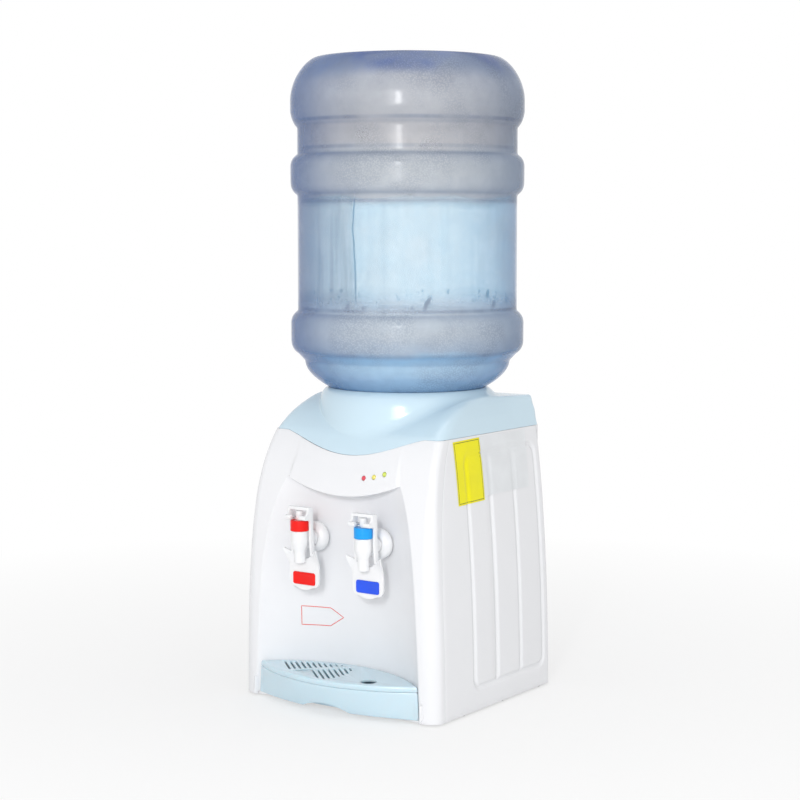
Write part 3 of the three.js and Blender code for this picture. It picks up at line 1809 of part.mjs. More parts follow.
// Drain spout at the bottom of the back, its tube from the hot tank and its screw cap.
const drainTip = housingRear + drainReach;
function drainSpout() {
  return turnedY(
    [
      [drainBore - wall / 2, drainInside - portLength],
      [portRadius, drainInside - portLength],
      [portRadius, drainInside],
      [drainRadius, drainInside],
      [drainRadius, housingRear + gap],
      [drainRadius + wall, housingRear + gap],
      [drainRadius + wall, housingRear + wall],
      [drainRadius, housingRear + wall],
      [drainRadius, drainTip],
      [drainBore - wall / 2, drainTip],
    ],
    drainX,
    drainZ,
    10,
  );
}
piece("drain_spout", drainSpout(), whitePlastic);
piece(
  "drain_cap",
  turnedY(
    [
      [drainRadius + gap, housingRear + wall + 2 * gap],
      [drainCapRadius, housingRear + wall + 2 * gap],
      [drainCapRadius, drainTip + wall],
      [0, drainTip + wall],
      [0, drainTip + gap],
      [drainRadius + gap, drainTip + gap],
    ],
    0,
    drainZ,
    16,
  ),
  whitePlastic,
);
// ------------------------------------------------------------------ stand the assembly on its feet
const frontReach = housingFront + trayBulgeTop;
const rearReach = Math.max(bottleRadius, drainTip + wall);
const dispenser = new THREE.Group();
dispenser.name = "countertop_water_dispenser";
housing.position.set(0, (frontReach - rearReach) / 2, footHeight);
dispenser.add(housing);

export default dispenser;
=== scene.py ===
import math

import bmesh
import bpy
import numpy as np
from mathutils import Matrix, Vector


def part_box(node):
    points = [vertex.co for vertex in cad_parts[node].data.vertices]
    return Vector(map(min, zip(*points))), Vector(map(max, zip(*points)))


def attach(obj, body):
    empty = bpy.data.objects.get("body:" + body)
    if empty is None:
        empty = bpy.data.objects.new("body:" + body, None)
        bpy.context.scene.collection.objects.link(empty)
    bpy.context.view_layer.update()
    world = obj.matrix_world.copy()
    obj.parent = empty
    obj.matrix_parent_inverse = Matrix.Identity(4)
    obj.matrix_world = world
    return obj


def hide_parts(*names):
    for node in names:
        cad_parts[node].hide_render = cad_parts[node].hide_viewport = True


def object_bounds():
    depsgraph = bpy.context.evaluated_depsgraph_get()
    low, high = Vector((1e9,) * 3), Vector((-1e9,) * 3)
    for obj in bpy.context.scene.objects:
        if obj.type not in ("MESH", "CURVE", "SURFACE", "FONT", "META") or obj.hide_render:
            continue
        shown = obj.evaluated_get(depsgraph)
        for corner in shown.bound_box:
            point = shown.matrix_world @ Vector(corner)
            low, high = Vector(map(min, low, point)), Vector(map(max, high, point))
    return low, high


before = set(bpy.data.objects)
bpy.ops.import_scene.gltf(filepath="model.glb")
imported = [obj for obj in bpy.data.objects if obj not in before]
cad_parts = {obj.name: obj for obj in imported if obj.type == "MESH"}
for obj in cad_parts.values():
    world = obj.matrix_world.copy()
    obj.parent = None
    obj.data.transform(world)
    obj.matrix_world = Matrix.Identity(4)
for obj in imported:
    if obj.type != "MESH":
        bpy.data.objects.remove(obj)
cad_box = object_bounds()

# ---- housing frame
# Sizes are in millimetres: x to the right, y to the back, z up from the housing's bottom edge,
# with the bottle's axis at x = y = 0.
MM = 0.001
AXIS_Y = (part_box("bottle")[0].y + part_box("bottle")[1].y) / 2
BASE_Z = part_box("front_panel")[0].z


def place(x, y, z):
    return Vector((x * MM, y * MM + AXIS_Y, z * MM + BASE_Z))


def measured(node):
    """Lowest and highest corner of a CAD node in the housing frame, in millimetres."""
    return [
        Vector((c.x / MM, (c.y - AXIS_Y) / MM, (c.z - BASE_Z) / MM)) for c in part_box(node)
    ]


HALF_WIDTH = measured("right_side_panel")[1].x
FRONT = measured("front_panel")[0].y
REAR = measured("rear_panel")[1].y
RIM_HEIGHT = measured("top_cover")[1].z
HEIGHT = 347.0
WALL = 2.5
GAP = 0.3

# Lean of the front and of the sides, as Bezier points of (setback, height)
LEAN = [(0, 95.7), (0, 221.5), (10.4, HEIGHT), (116, HEIGHT)]
SIDE = [(0, 0), (0, 146), (14, 310), (28, 338)]
SHOULDER = [(28, 338), (29.5, 342.5), (30.5, 346), (34, HEIGHT)]
CORNER_WIDTH, CORNER_DEPTH, LEAST_CORNER, REAR_CORNER = 20, 14, 9, 8
FRONT_WRAP = 18
REAR_RETURN = 22
SEAM_HEIGHT, SEAM_DIP, SEAM_REACH = 306.5, 22, 96

DRUM = [(105, 300), (104.5, 335), (102, RIM_HEIGHT - 3), (92, RIM_HEIGHT)]
RIM_RADIUS = 92
COLLAR_BORE = 88.5
LEDGE_HEIGHT, LEDGE_RADIUS = 340, 83

BAY_RADIUS, BAY_DEPTH, BAY_LEAN = 162, 47.8, 0.0507
BAY_EDGE = 5
BAY_FLOOR = 2.6
BROW_HEIGHT, BROW_RISE, BROW_HALF = 239.5, 16.5, 78
BROW_BULGE = 2.6
BROW_LIP = 1.8


# ---- curves
def bezier(points, steps):
    out = []
    for i in range(steps + 1):
        line = [np.array(q, float) for q in points]
        while len(line) > 1:
            line = [a + (b - a) * (i / steps) for a, b in zip(line, line[1:])]
        out.append(line[0])
    return np.array(out)


def curved(points, steps):
    return [tuple(p) for p in bezier(points, steps)]


def clipped(t, low=0, high=1):
    return min(max(t, low), high)


def smooth(t):
    s = clipped(t)
    return s * s * (3 - 2 * s)


lean_curve = bezier(LEAN, 96)
side_curve = np.vstack([bezier(SIDE, 64), bezier(SHOULDER, 16)[1:]])


def front_y(z):
    return FRONT + float(np.interp(z, lean_curve[:, 1], lean_curve[:, 0]))


def half_width(z):
    return HALF_WIDTH - float(np.interp(z, side_curve[:, 1], side_curve[:, 0]))


def seam_at(x):
    across = min(abs(x) / SEAM_REACH, 1)
    return SEAM_HEIGHT - SEAM_DIP * (0.5 + 0.5 * math.cos(math.pi * across)) ** 0.6


def bay_centre(z):
    return FRONT + BAY_DEPTH - BAY_RADIUS - BAY_LEAN * z


def bay_wall_y(x, z):
    return bay_centre(z) + math.sqrt(BAY_RADIUS**2 - x * x)


def brow_at(x):
    return BROW_HEIGHT + BROW_RISE * (x / BROW_HALF) ** 2


# ---- pieces
class Sheet:
    """Points and faces of one piece, in the housing frame; blocks that meet are welded."""

    def __init__(self):
        self.points = []
        self.faces = []

    def block(self, rows, closed=False):
        start, columns = len(self.points), len(rows[0])
        for row in rows:
            self.points.extend(row)
        for i in range(len(rows) - 1):
            a = start + i * columns
            b = a + columns
            for j in range(columns if closed else columns - 1):
                k = (j + 1) % columns
                self.faces.append((a + j, a + k, b + k, b + j))
        return self

    def cap(self, ring):
        start = len(self.points)
        self.points.extend(ring)
        self.faces.append(tuple(range(start, start + len(ring))))

    def slab(self, one, other):
        """Two grids of the same size, joined round their edges."""
        self.block(one)
        self.block(other)
        for k in (0, -1):
            self.block([one[k], other[k]])
        for k in (0, -1):
            self.block([[row[k] for row in one], [row[k] for row in other]])
        return self


def solid(rings, sheet=None):
    """Closed form through rings of points, its ends capped; it goes into the sheet, if given."""
    sheet = (sheet or Sheet()).block(rings, closed=True)
    sheet.cap(rings[0])
    sheet.cap(rings[-1])
    return sheet


def extruded(points, low, high, axis):
    """Prism along an axis (0, 1 or 2), over an outline given in the other two coordinates."""
    return solid([[(*p[:axis], at, *p[axis:]) for p in points] for at in (low, high)])


def lathe(profile, segments, point):
    """Closed turned form; point places (distance along, offset, offset)."""
    turns = [2 * math.pi * i / segments for i in range(segments)]
    rows = [[point(h, r * math.cos(t), r * math.sin(t)) for t in turns] for r, h in profile]
    return Sheet().block(rows, closed=True)


def turned(profile, segments=64, x=0.0, y=0.0):
    """Lathe form of (radius, height) points about an upright axis."""
    return lathe(profile, segments, lambda z, u, v: (x + u, y + v, z))


def turned_y(profile, x, z, segments=48):
    """Lathe form of (radius, y) points about an axis along y."""
    return lathe(profile, segments, lambda y, u, v: (x + u, y, z + v))


def rounded(points, radius, steps=4):
    """The profile with its inner corners turned into arcs of at most the radius."""
    line = [np.array(q, float) for q in points]
    out = [line[0]]
    for a, p, b in zip(line, line[1:], line[2:]):
        la, lb = np.linalg.norm(a - p), np.linalg.norm(b - p)
        if la < 1e-6 or lb < 1e-6:
            continue
        reach = min(radius, la / 2.2, lb / 2.2)
        start, end = p + (a - p) / la * reach, p + (b - p) / lb * reach
        for i in range(steps + 1):
            t = i / steps
            out.append(start * (1 - t) ** 2 + p * 2 * t * (1 - t) + end * t * t)
    return [tuple(q) for q in [*out, line[-1]]]


def new_object(name, data):
    obj = bpy.data.objects.new(name, data)
    bpy.context.scene.collection.objects.link(obj)
    return obj


def build(name, sheet, inside=None, weld=0.004):
    """A mesh object from a sheet; inside is a point that an open sheet's faces look away from."""
    mesh = bpy.data.meshes.new(name)
    mesh.from_pydata([place(*p) for p in sheet.points], [], sheet.faces)
    bm = bmesh.new()
    bm.from_mesh(mesh)
    bmesh.ops.remove_doubles(bm, verts=bm.verts, dist=weld * MM)
    bmesh.ops.dissolve_degenerate(bm, edges=bm.edges, dist=weld * MM)
    bmesh.ops.recalc_face_normals(bm, faces=bm.faces)
    if inside is not None:
        centre = place(*inside)
        outward = [f.normal.dot(f.calc_center_median() - centre) * f.calc_area() for f in bm.faces]
        if sum(outward) < 0:
            bmesh.ops.reverse_faces(bm, faces=bm.faces)
    bm.to_mesh(mesh)
    bm.free()
    return new_object(name, mesh)


def modifier(obj, kind, **settings):
    m = obj.modifiers.new(kind.title(), kind)
    for key, value in settings.items():
        setattr(m, key, value)


def plain_mesh(obj):
    graph = bpy.context.evaluated_depsgraph_get()
    return bpy.data.meshes.new_from_object(obj.evaluated_get(graph))


def settle(obj, angle=38):
    """Applies the modifiers and shades the piece smooth between its sharp edges."""
    mesh = plain_mesh(obj)
    obj.modifiers.clear()
    obj.data = mesh
    mesh.shade_smooth()
    mesh.set_sharp_from_angle(angle=math.radians(angle))
    return obj


def soften(obj, width, segments=2, angle=50):
    """Rounds the edges that are sharper than the angle."""
    modifier(
        obj, "BEVEL", width=width * MM, segments=segments, limit_method="ANGLE",
        angle_limit=math.radians(angle), use_clamp_overlap=True,
    )
    return obj


def shell(name, sheet, inside_z, weld=0.004):
    """A wall of even thickness behind an open sheet."""
    obj = build(name, sheet, (0, 0, inside_z), weld)
    modifier(obj, "SOLIDIFY", thickness=WALL * MM, offset=-1)
    return soften(obj, 0.4, 2, 55)


def combine(target, others, operation="DIFFERENCE"):
    for other in others:
        modifier(target, "BOOLEAN", operation=operation, object=other, solver="EXACT")
    settle(target)
    for other in others:
        bpy.data.objects.remove(other)
    return target


def finish(obj, body, slot, replaces=None, angle=40, look=None):
    settle(obj, angle)
    obj.data.materials.clear()
    obj.data.materials.append(materials[look or slot])
    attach(obj, body)
    if replaces:
        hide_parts(replaces)


# ---- materials
class Shader:
    """Short ways to add and join the nodes of a tree; an underscore in a key is a space."""

    def __init__(self, tree):
        self.tree = tree

    def feed(self, socket, value):
        if isinstance(value, bpy.types.NodeSocket):
            self.tree.links.new(value, socket)
        else:
            socket.default_value = value

    def node(self, kind, *inputs, **settings):
        n = self.tree.nodes.new("ShaderNode" + kind)
        for key, value in settings.items():
            if hasattr(n, key):
                setattr(n, key, value)
            else:
                self.feed(n.inputs[key.replace("_", " ")], value)
        for socket, value in zip(n.inputs, inputs):
            self.feed(socket, value)
        return n

    def maths(self, operation, a, b=0.0):
        return self.node("Math", a, b, operation=operation).outputs[0]

    def times(self, a, b):
        return self.maths("MULTIPLY", a, b)

    def plus(self, a, b):
        return self.maths("ADD", a, b)

    def spread(self, value, low, high, start=0.3, end=0.7):
        """Low to high as the value goes from start to end."""
        return self.node(
            "MapRange", From_Min=start, From_Max=end, To_Min=low, To_Max=high, Value=value
        ).outputs["Result"]

    def seen(self):
        """1 for the rays that show the background as plain white."""
        rays = self.node("LightPath").outputs
        either = self.maths("MAXIMUM", rays["Is Camera Ray"], rays["Is Glossy Ray"])
        return self.maths("MAXIMUM", either, rays["Is Transmission Ray"])

    def blend(self, factor, first, second):
        return self.node("MixShader", factor, first.outputs[0], second.outputs[0]).outputs[0]


class Look(Shader):
    """A material on one Principled shader."""

    def __init__(self, name):
        self.material = bpy.data.materials.new(name)
        self.material.use_nodes = True
        super().__init__(self.material.node_tree)
        self.bsdf = self.tree.nodes["Principled BSDF"]
        self.where = self.node("TexCoord").outputs["Object"]

    def surface(self, **values):
        for key, value in values.items():
            self.feed(self.bsdf.inputs[key.replace("_", " ")], value)

    def noise(self, scale, detail=3.0, stretch=None):
        where = self.where
        if stretch:
            where = self.node("Mapping", Scale=stretch, Vector=where).outputs["Vector"]
        return self.node("TexNoise", Scale=scale, Detail=detail, Vector=where).outputs["Fac"]

    def mixed(self, factor, first, second):
        n = self.node("Mix", factor, data_type="RGBA")
        self.feed(n.inputs[6], first)
        self.feed(n.inputs[7], second)
        return n.outputs[2]

    def tones(self, pattern, colour, dark, light):
        """The colour from a darker to a lighter tone of itself, by a pattern."""
        ends = ((*(c * tone for c in colour), 1.0) for tone in (dark, light))
        return self.mixed(self.spread(pattern, 0, 1), *ends)

    def worn(self, pattern, colour, dark, light, low, high):
        """Tone and roughness that follow one pattern."""
        self.surface(
            Base_Color=self.tones(pattern, colour, dark, light),
            Roughness=self.spread(pattern, low, high),
        )

    def bump(self, height, strength, distance=0.0004):
        n = self.node("Bump", Strength=strength, Distance=distance, Height=height)
        self.surface(Normal=n.outputs["Normal"])


def plastic(name, colour, rough, bump=0.012, shine=0.5, tone=0.02, depth=0.0):
    """Moulded plastic: faint cloudiness of colour, uneven gloss and a fine moulded skin. With a
    depth, light soaks through it into the hollow behind."""
    look = Look(name)
    look.surface(
        Base_Color=look.tones(look.noise(14.0, 4.0), colour, 1 - tone, 1.0),
        Roughness=look.spread(look.noise(60.0, 5.0), rough * 0.92, rough * 1.1),
        Specular_IOR_Level=shine,
    )
    look.bump(look.noise(650.0, 2.0), bump)
    if depth:
        look.surface(
            Subsurface_Weight=0.35, Subsurface_Radius=(0.5, 0.9, 1.0), Subsurface_Scale=depth
        )
    return look.material


def metal(name, colour, rough, brushed=(1.0, 1.0, 18.0)):
    look = Look(name)
    look.worn(look.noise(120.0, 4.0, brushed), colour, 0.86, 1.0, rough * 0.8, rough * 1.3)
    look.surface(Metallic=1.0)
    return look.material


def rubber(name, colour, rough=0.6):
    look = Look(name)
    look.worn(look.noise(90.0, 6.0), colour, 0.85, 1.25, rough * 0.9, rough * 1.15)
    look.bump(look.noise(1400.0, 3.0), 0.12)
    return look.material


def lens(name, colour):
    look = Look(name)
    facets = look.tones(look.noise(700.0, 2.0), colour, 0.85, 1.1)
    look.surface(Base_Color=facets, Roughness=0.12, Coat_Weight=0.6)
    return look.material


def printed(name, colour):
    """Film of a sticker: satin, with faint cockling."""
    look = Look(name)
    look.worn(look.noise(40.0, 4.0), colour, 0.94, 1.0, 0.3, 0.42)
    look.surface(Specular_IOR_Level=0.25)
    look.bump(look.noise(120.0, 3.0), 0.08)
    return look.material


AZIMUTH = math.radians(35.11)  # of the photograph's view, from the front towards the right

# Height, colour and haze of the bottle's wall
BANDS = [
    (340, (0.58, 0.84, 1.00), 0.44), (372, (0.54, 0.78, 0.99), 0.44),
    (388, (0.48, 0.72, 0.92), 0.44), (394, (0.42, 0.74, 1.00), 0.40),
    (402, (0.48, 0.58, 0.70), 0.46), (420, (0.62, 0.69, 0.76), 0.50),
    (440, (0.62, 0.70, 0.78), 0.46), (450, (0.62, 0.78, 0.92), 0.32),
    (468, (0.34, 0.74, 0.98), 0.15), (562, (0.34, 0.74, 0.98), 0.15),
    (574, (0.57, 0.62, 0.68), 0.40), (600, (0.61, 0.65, 0.69), 0.48),
    (624, (0.58, 0.62, 0.67), 0.46), (634, (0.60, 0.60, 0.62), 0.42),
    (652, (0.58, 0.58, 0.61), 0.42), (664, (0.54, 0.56, 0.60), 0.50),
    (700, (0.62, 0.64, 0.69), 0.50), (716, (0.42, 0.48, 0.60), 0.55),
    (745, (0.24, 0.30, 0.50), 0.60),
]
# Height and strength of the thin lines of painted shade where the bottle's wall turns
TURN_SHADE_LINES = ((397, 0.35), (446, 0.5), (568, 0.55), (628, 0.45), (659, 0.6))


def band_ramp(look, along, values):
    """A colour ramp with one stop for each band."""
    ramp = look.node("ValToRGB", Fac=along)
    stops = ramp.color_ramp.elements
    low, high = BANDS[0][0], BANDS[-1][0]
    for i, band in enumerate(BANDS):
        at = (band[0] - low) / (high - low)
        stop = stops[i] if i < 2 else stops.new(at)
        stop.position = at
    for stop, value in zip(sorted(stops, key=lambda s: s.position), values):
        stop.color = (*value, 1.0)
    return ramp.outputs["Color"]


def bottle_material():
    """Clear pale blue polycarbonate: hazy grey hoops with condensation, a clear middle with
    painted shade and films of water on its left, blue stain at the dome and in the base, and
    painted shade where the wall turns and towards the outline."""
    look = Look("polycarbonate")
    noise, spread, times, mixed = look.noise, look.spread, look.times, look.mixed
    height = look.node("SeparateXYZ", look.where).outputs["Z"]

    def level(z):
        return BASE_Z + z * MM

    def window(value, none, full):
        """0 to 1 as a distance goes from none to full."""
        return look.node(
            "MapRange", interpolation_type="SMOOTHSTEP", Value=value, From_Min=none * MM,
            From_Max=full * MM,
        ).outputs["Result"]

    def rise(none, full):
        return window(height, none + BASE_Z / MM, full + BASE_Z / MM)

    def from_axis(x, y):
        """Distance from the bottle's axis in a direction of the plan."""
        n = look.node("VectorMath", look.where, (x, y, 0), operation="DOT_PRODUCT")
        return look.maths("SUBTRACT", n.outputs["Value"], y * AXIS_Y)

    wobble = noise(9.0, 3.0)
    along = spread(height, 0, 1, level(BANDS[0][0]), level(BANDS[-1][0]))
    along = look.plus(along, spread(wobble, -0.012, 0.012))
    colour = band_ramp(look, along, [band[1] for band in BANDS])
    haze = band_ramp(look, along, [(band[2],) * 3 for band in BANDS])

    stain = times(spread(noise(17.0, 5.0), 0.0, 0.85, 0.42, 0.6), rise(702, 718))
    base = mixed(stain, colour, (0.12, 0.18, 0.42, 1.0))

    # painted shade: the left part of the middle of the side that faces the view is darker and
    # hazier, with a dark line along its edge and films of water down it
    across = from_axis(math.cos(AZIMUTH), math.sin(AZIMUTH))
    across = look.plus(across, spread(wobble, -0.004, 0.004))
    facing = from_axis(math.sin(AZIMUTH), -math.cos(AZIMUTH))
    middle = times(times(rise(448, 460), rise(580, 566)), window(facing, 0, 10))
    painted_left_shade = times(window(across, -56, -66), middle)
    shade_edge_line = look.maths("ABSOLUTE", look.plus(across, 0.058))
    shade_edge_line = times(window(shade_edge_line, 1.4, 0.4), middle)
    # painted shade: the left part of the middle made darker
    base = mixed(times(painted_left_shade, 0.55), base, (0.26, 0.34, 0.42, 1.0))
    streaks = spread(noise(70.0, 4.0, (1, 1, 0.06)), 0.0, 1.0, 0.5, 0.75)
    film = times(streaks, look.plus(times(painted_left_shade, 0.5), 0.14))
    base = mixed(film, base, (0.22, 0.27, 0.34, 1.0))
    # painted shade: a dark line along the edge of the shaded part
    base = mixed(times(shade_edge_line, 0.6), base, (0.2, 0.22, 0.28, 1.0))
    blobs = spread(noise(95.0, 3.0, (1, 1, 0.5)), 0.0, 1.0, 0.6, 0.68)
    blobs = times(blobs, times(rise(446, 450), rise(466, 460)))
    base = mixed(times(blobs, 0.7), base, (0.14, 0.16, 0.24, 1.0))

    # painted shade: a thin dark line along each turn of the wall
    for z, strength in TURN_SHADE_LINES:
        away = look.maths("ABSOLUTE", look.maths("SUBTRACT", height, level(z)))
        patchy = spread(noise(24.0, 4.0, (1, 1, 0.3)), 0.35, 1.0, 0.35, 0.6)
        line = times(times(window(away, 3.2, 0.6), strength), patchy)
        base = mixed(line, base, (0.13, 0.19, 0.33, 1.0))

    # condensation: beads with a darker ring round each, in patches
    drops = look.node("TexVoronoi", Scale=520.0, Randomness=1.0, Vector=look.where)
    distance = drops.outputs["Distance"]
    patch = spread(noise(16.0, 3.0), 0.0, 1.0, 0.48, 0.62)
    wet = times(spread(distance, 1.0, 0.0, 0.08, 0.4), patch)
    ring = times(spread(distance, 0.0, 1.0, 0.35, 0.6), times(patch, 0.28))
    base = mixed(times(wet, 0.14), base, (0.85, 0.88, 0.92, 1.0))
    base = mixed(ring, base, (0.22, 0.26, 0.34, 1.0))

    # darker and bluer towards the outline: the tint of the wall seen through its length, with
    # painted shade, darkest and bluest on the left of the side that faces the view
    edge = look.node("LayerWeight", Blend=0.5).outputs["Facing"]
    deep = look.node("VectorMath", base, (0.24, 0.35, 0.54), operation="MULTIPLY")
    outline_tint_and_shade = mixed(window(across, -30, -130), deep.outputs["Vector"], (0.03, 0.12, 0.36, 1.0))
    base = mixed(times(edge, 1.15), base, outline_tint_and_shade)

    body = times(haze, spread(noise(34.0, 6.0), 0.86, 1.16))
    shares = ((film, 0.4), (painted_left_shade, 0.08), (shade_edge_line, 0.45), (blobs, 0.4), (stain, 0.2), (edge, 0.3))
    for extra, share in shares:
        body = look.plus(body, times(extra, share))
    look.surface(
        Base_Color=base,
        Alpha=look.node("Clamp", Value=body).outputs["Result"],
        Roughness=spread(wet, 0.17, 0.34, 0.0, 1.0),
        IOR=1.38,
        Specular_IOR_Level=0.35,
    )
    look.bump(look.plus(wet, times(noise(30.0, 2.0), 0.6)), 0.22, 0.0012)
    return look.material


COVER_BLUE = (0.61, 0.77, 0.865)
materials = {
    "white_housing": plastic("white_abs", (0.84, 0.845, 0.865), 0.24, shine=0.25),
    "pale_blue_cover": plastic("pale_blue_abs", COVER_BLUE, 0.17, tone=0.03),
    "pale_blue_tray": plastic("pale_blue_tray", COVER_BLUE, 0.2, tone=0.03, depth=0.004),
    "white_tap": plastic("tap_white", (0.87, 0.875, 0.885), 0.3, bump=0.02),
    "grey_plastic": plastic("grey_moulding", (0.11, 0.115, 0.125), 0.45, bump=0.1),
    "red_plastic": plastic("red_moulding", (0.95, 0.012, 0.008), 0.3, shine=0.25, tone=0.12),
    "azure_plastic": plastic("azure_moulding", (0.015, 0.38, 0.93), 0.3, shine=0.25, tone=0.12),
    "blue_plastic": plastic("blue_moulding", (0.03, 0.11, 0.9), 0.3, shine=0.25, tone=0.12),
    "yellow_lens": lens("yellow_lens", (0.86, 0.78, 0.16)),
    "green_lens": lens("green_lens", (0.62, 0.72, 0.1)),
    "red_lens": lens("red_lens", (0.75, 0.06, 0.1)),
    "silicone": rubber("silicone", (0.75, 0.75, 0.72), 0.45),
    "black_rubber": rubber("black_rubber", (0.012, 0.012, 0.013)),
    "stainless": metal("stainless", (0.6, 0.61, 0.63), 0.26),
    "cast_aluminium": metal("cast_aluminium", (0.66, 0.67, 0.68), 0.4, (1, 1, 1)),
    "ceramic_plate": rubber("ceramic", (0.82, 0.82, 0.78), 0.5),
    "circuit_board": plastic("circuit_board", (0.02, 0.14, 0.05), 0.35, tone=0.3),
    "clear_bottle": bottle_material(),
    "yellow_film": printed("yellow_film", (0.9, 0.83, 0.008)),
    "border_film": printed("border_film", (0.16, 0.15, 0.03)),
    "pale_film": printed("pale_film", (0.8, 0.82, 0.84)),
    "red_film": printed("red_film", (0.8, 0.13, 0.11)),
}


# ---- camera
PITCH = math.radians(5.49)
DISTANCE = 2162.5
AIM_RIGHT, AIM_HEIGHT = -8.58, 337.27
right = Vector((math.cos(AZIMUTH), math.sin(AZIMUTH), 0))
ahead = Vector((-math.sin(AZIMUTH), math.cos(AZIMUTH), 0)) * math.cos(PITCH)
forward = ahead - Vector((0, 0, math.sin(PITCH)))
lens_data = bpy.data.cameras.new("camera")
lens_data.sensor_width = 36
lens_data.lens = 83.19
camera = new_object("camera", lens_data)
camera.location = place(*(right * AIM_RIGHT + Vector((0, 0, AIM_HEIGHT)) - forward * DISTANCE))
camera.rotation_euler = forward.to_track_quat("-Z", "Y").to_euler()
bpy.context.scene.camera = camera


# ---- front panel
def bay_edge_x(z):
    """Where the rounded edge of the bay leaves the flat of the front."""
    away = front_y(z) + BAY_EDGE - bay_centre(z)
    return math.sqrt((BAY_RADIUS + BAY_EDGE) ** 2 - away**2)


bay_top = BROW_HEIGHT + BROW_RISE
for _ in range(30):
    bay_top = brow_at(bay_edge_x(bay_top))

ARC_SHARE = 0.86  # of the bay's section; its rounded edges take the rest


def bay_section(q, z):
    """Point (x, y) of the bay's section at a height, q from -1 at one edge to 1 at the other."""
    edge_x, edge_y = bay_edge_x(z), front_y(z) + BAY_EDGE
    tangent = math.atan2(edge_x, edge_y - bay_centre(z))
    side = math.copysign(1, q)
    share = abs(q) / ARC_SHARE
    if share <= 1:
        a = tangent * share
        return side * BAY_RADIUS * math.sin(a), bay_centre(z) + BAY_RADIUS * math.cos(a)
    b = tangent * (1 - (abs(q) - ARC_SHARE) / (1 - ARC_SHARE))
    return side * (edge_x - BAY_EDGE * math.sin(b)), edge_y - BAY_EDGE * math.cos(b)


def brow_y(x, z):
    low, high = brow_at(x), seam_at(x)
    edge = 77 - 4 * clipped((z - 256) / 26, -1)
    swell = smooth((edge - abs(x)) / 3)
    fade = 1 - smooth((z - low) / max(high - low, 1))
    return front_y(z) - BROW_BULGE * swell * max(fade, 0.18)


def corner_size(z):
    inset, setback = HALF_WIDTH - half_width(z), front_y(z) - FRONT
    sizes = CORNER_WIDTH - 0.8 * inset, CORNER_DEPTH - 0.5 * setback
    return [max(size, LEAST_CORNER) for size in sizes]


FLAT_STEPS, CORNER_STEPS, WRAP_STEPS = 14, 12, 4
LOW_ROWS, HIGH_ROWS, DEPTH_ROWS, LIP_ROWS = 64, 22, 10, 4


def flank_point(k, z):
    """Point (x, y) of the right flank's section: the flat, the corner, then the wrap."""
    start = bay_edge_x(min(z, bay_top))
    wide, deep = corner_size(z)
    side, face = half_width(z), front_y(z)
    if k <= FLAT_STEPS:
        return start + (side - wide - start) * k / FLAT_STEPS, face
    if k <= FLAT_STEPS + CORNER_STEPS:
        a = (k - FLAT_STEPS) / CORNER_STEPS * math.pi / 2
        return side - wide + wide * math.sin(a), face + deep - deep * math.cos(a)
    t = (k - FLAT_STEPS - CORNER_STEPS) / WRAP_STEPS
    return side, face + deep + (FRONT_WRAP - deep) * t


def low_flank(k, share):
    floor = 0 if k else BAY_FLOOR
    z = floor + (bay_top - floor) * share
    return (*flank_point(k, z), z)


def high_flank(k, share):
    x, y = flank_point(k, bay_top)
    for _ in range(3):
        z = bay_top + (seam_at(x) - GAP / 2 - bay_top) * share
        x, y = flank_point(k, z)
    return x, y, z


def brow_point(i, x, y, z, lip):
    """From the bay's wall out under the brow, round its lip and up its face."""
    if i <= DEPTH_ROWS:
        return x, y + (brow_y(x, z) + lip - y) * i / DEPTH_ROWS, z
    i -= DEPTH_ROWS
    if i <= LIP_ROWS:
        a = math.pi / 2 * i / LIP_ROWS
        rise = z + lip - lip * math.cos(a)
        return x, brow_y(x, rise) + lip - lip * math.sin(a), rise
    rise = z + lip + (seam_at(x) - GAP / 2 - z - lip) * (i - LIP_ROWS) / HIGH_ROWS
    return x, brow_y(x, rise), rise


def front_panel():
    sheet = Sheet()
    flank = range(FLAT_STEPS + CORNER_STEPS + WRAP_STEPS + 1)
    for side in (-1, 1):
        for point, count in ((low_flank, LOW_ROWS), (high_flank, HIGH_ROWS)):
            rows = [[point(k, i / count) for k in flank] for i in range(count + 1)]
            sheet.block([[(side * x, y, z) for x, y, z in row] for row in rows])
    edges = [ARC_SHARE + (1 - ARC_SHARE) * i / 8 for i in range(1, 9)]
    columns = [-q for q in reversed(edges)]
    columns += [q / 34 * ARC_SHARE for q in range(-34, 35)] + edges
    tops = []
    for q in columns:
        z = bay_top
        for _ in range(40):
            x, y = bay_section(q, z)
            z = brow_at(x)
        tops.append((x, y, z))
    rows = []
    for i in range(LOW_ROWS + 1):
        heights = [BAY_FLOOR + (top[2] - BAY_FLOOR) * i / LOW_ROWS for top in tops]
        rows.append([(*bay_section(q, z), z) for q, z in zip(columns, heights)])
    sheet.block(rows)
    lips = [clipped((y - brow_y(x, z)) / 2, 0, BROW_LIP) for x, y, z in tops]
    last = DEPTH_ROWS + LIP_ROWS + HIGH_ROWS
    sheet.block(
        [[brow_point(i, *top, lip) for top, lip in zip(tops, lips)] for i in range(last + 1)]
    )
    return shell("front_shell", sheet, 150, 0.02)


def centre_of(name):
    low, high = measured(name)
    return (low + high) / 2


TAP_X = {side: centre_of(side + "_tap_cap").x for side in ("hot", "cold")}
TAP_Y = centre_of("hot_tap_cap").y
SPIGOT_Z, SPIGOT_BORE = 188.5, 7.7
LAMP_RADIUS, LAMP_BORE = 2.6, 2.9
LAMPS = {"hot_lamp": "red_plastic", "power_lamp": "yellow_lens", "cold_lamp": "green_lens"}


def bore(x, z, radius, low, high):
    return build("bore", turned_y([(0, low), (radius, low), (radius, high), (0, high)], x, z))


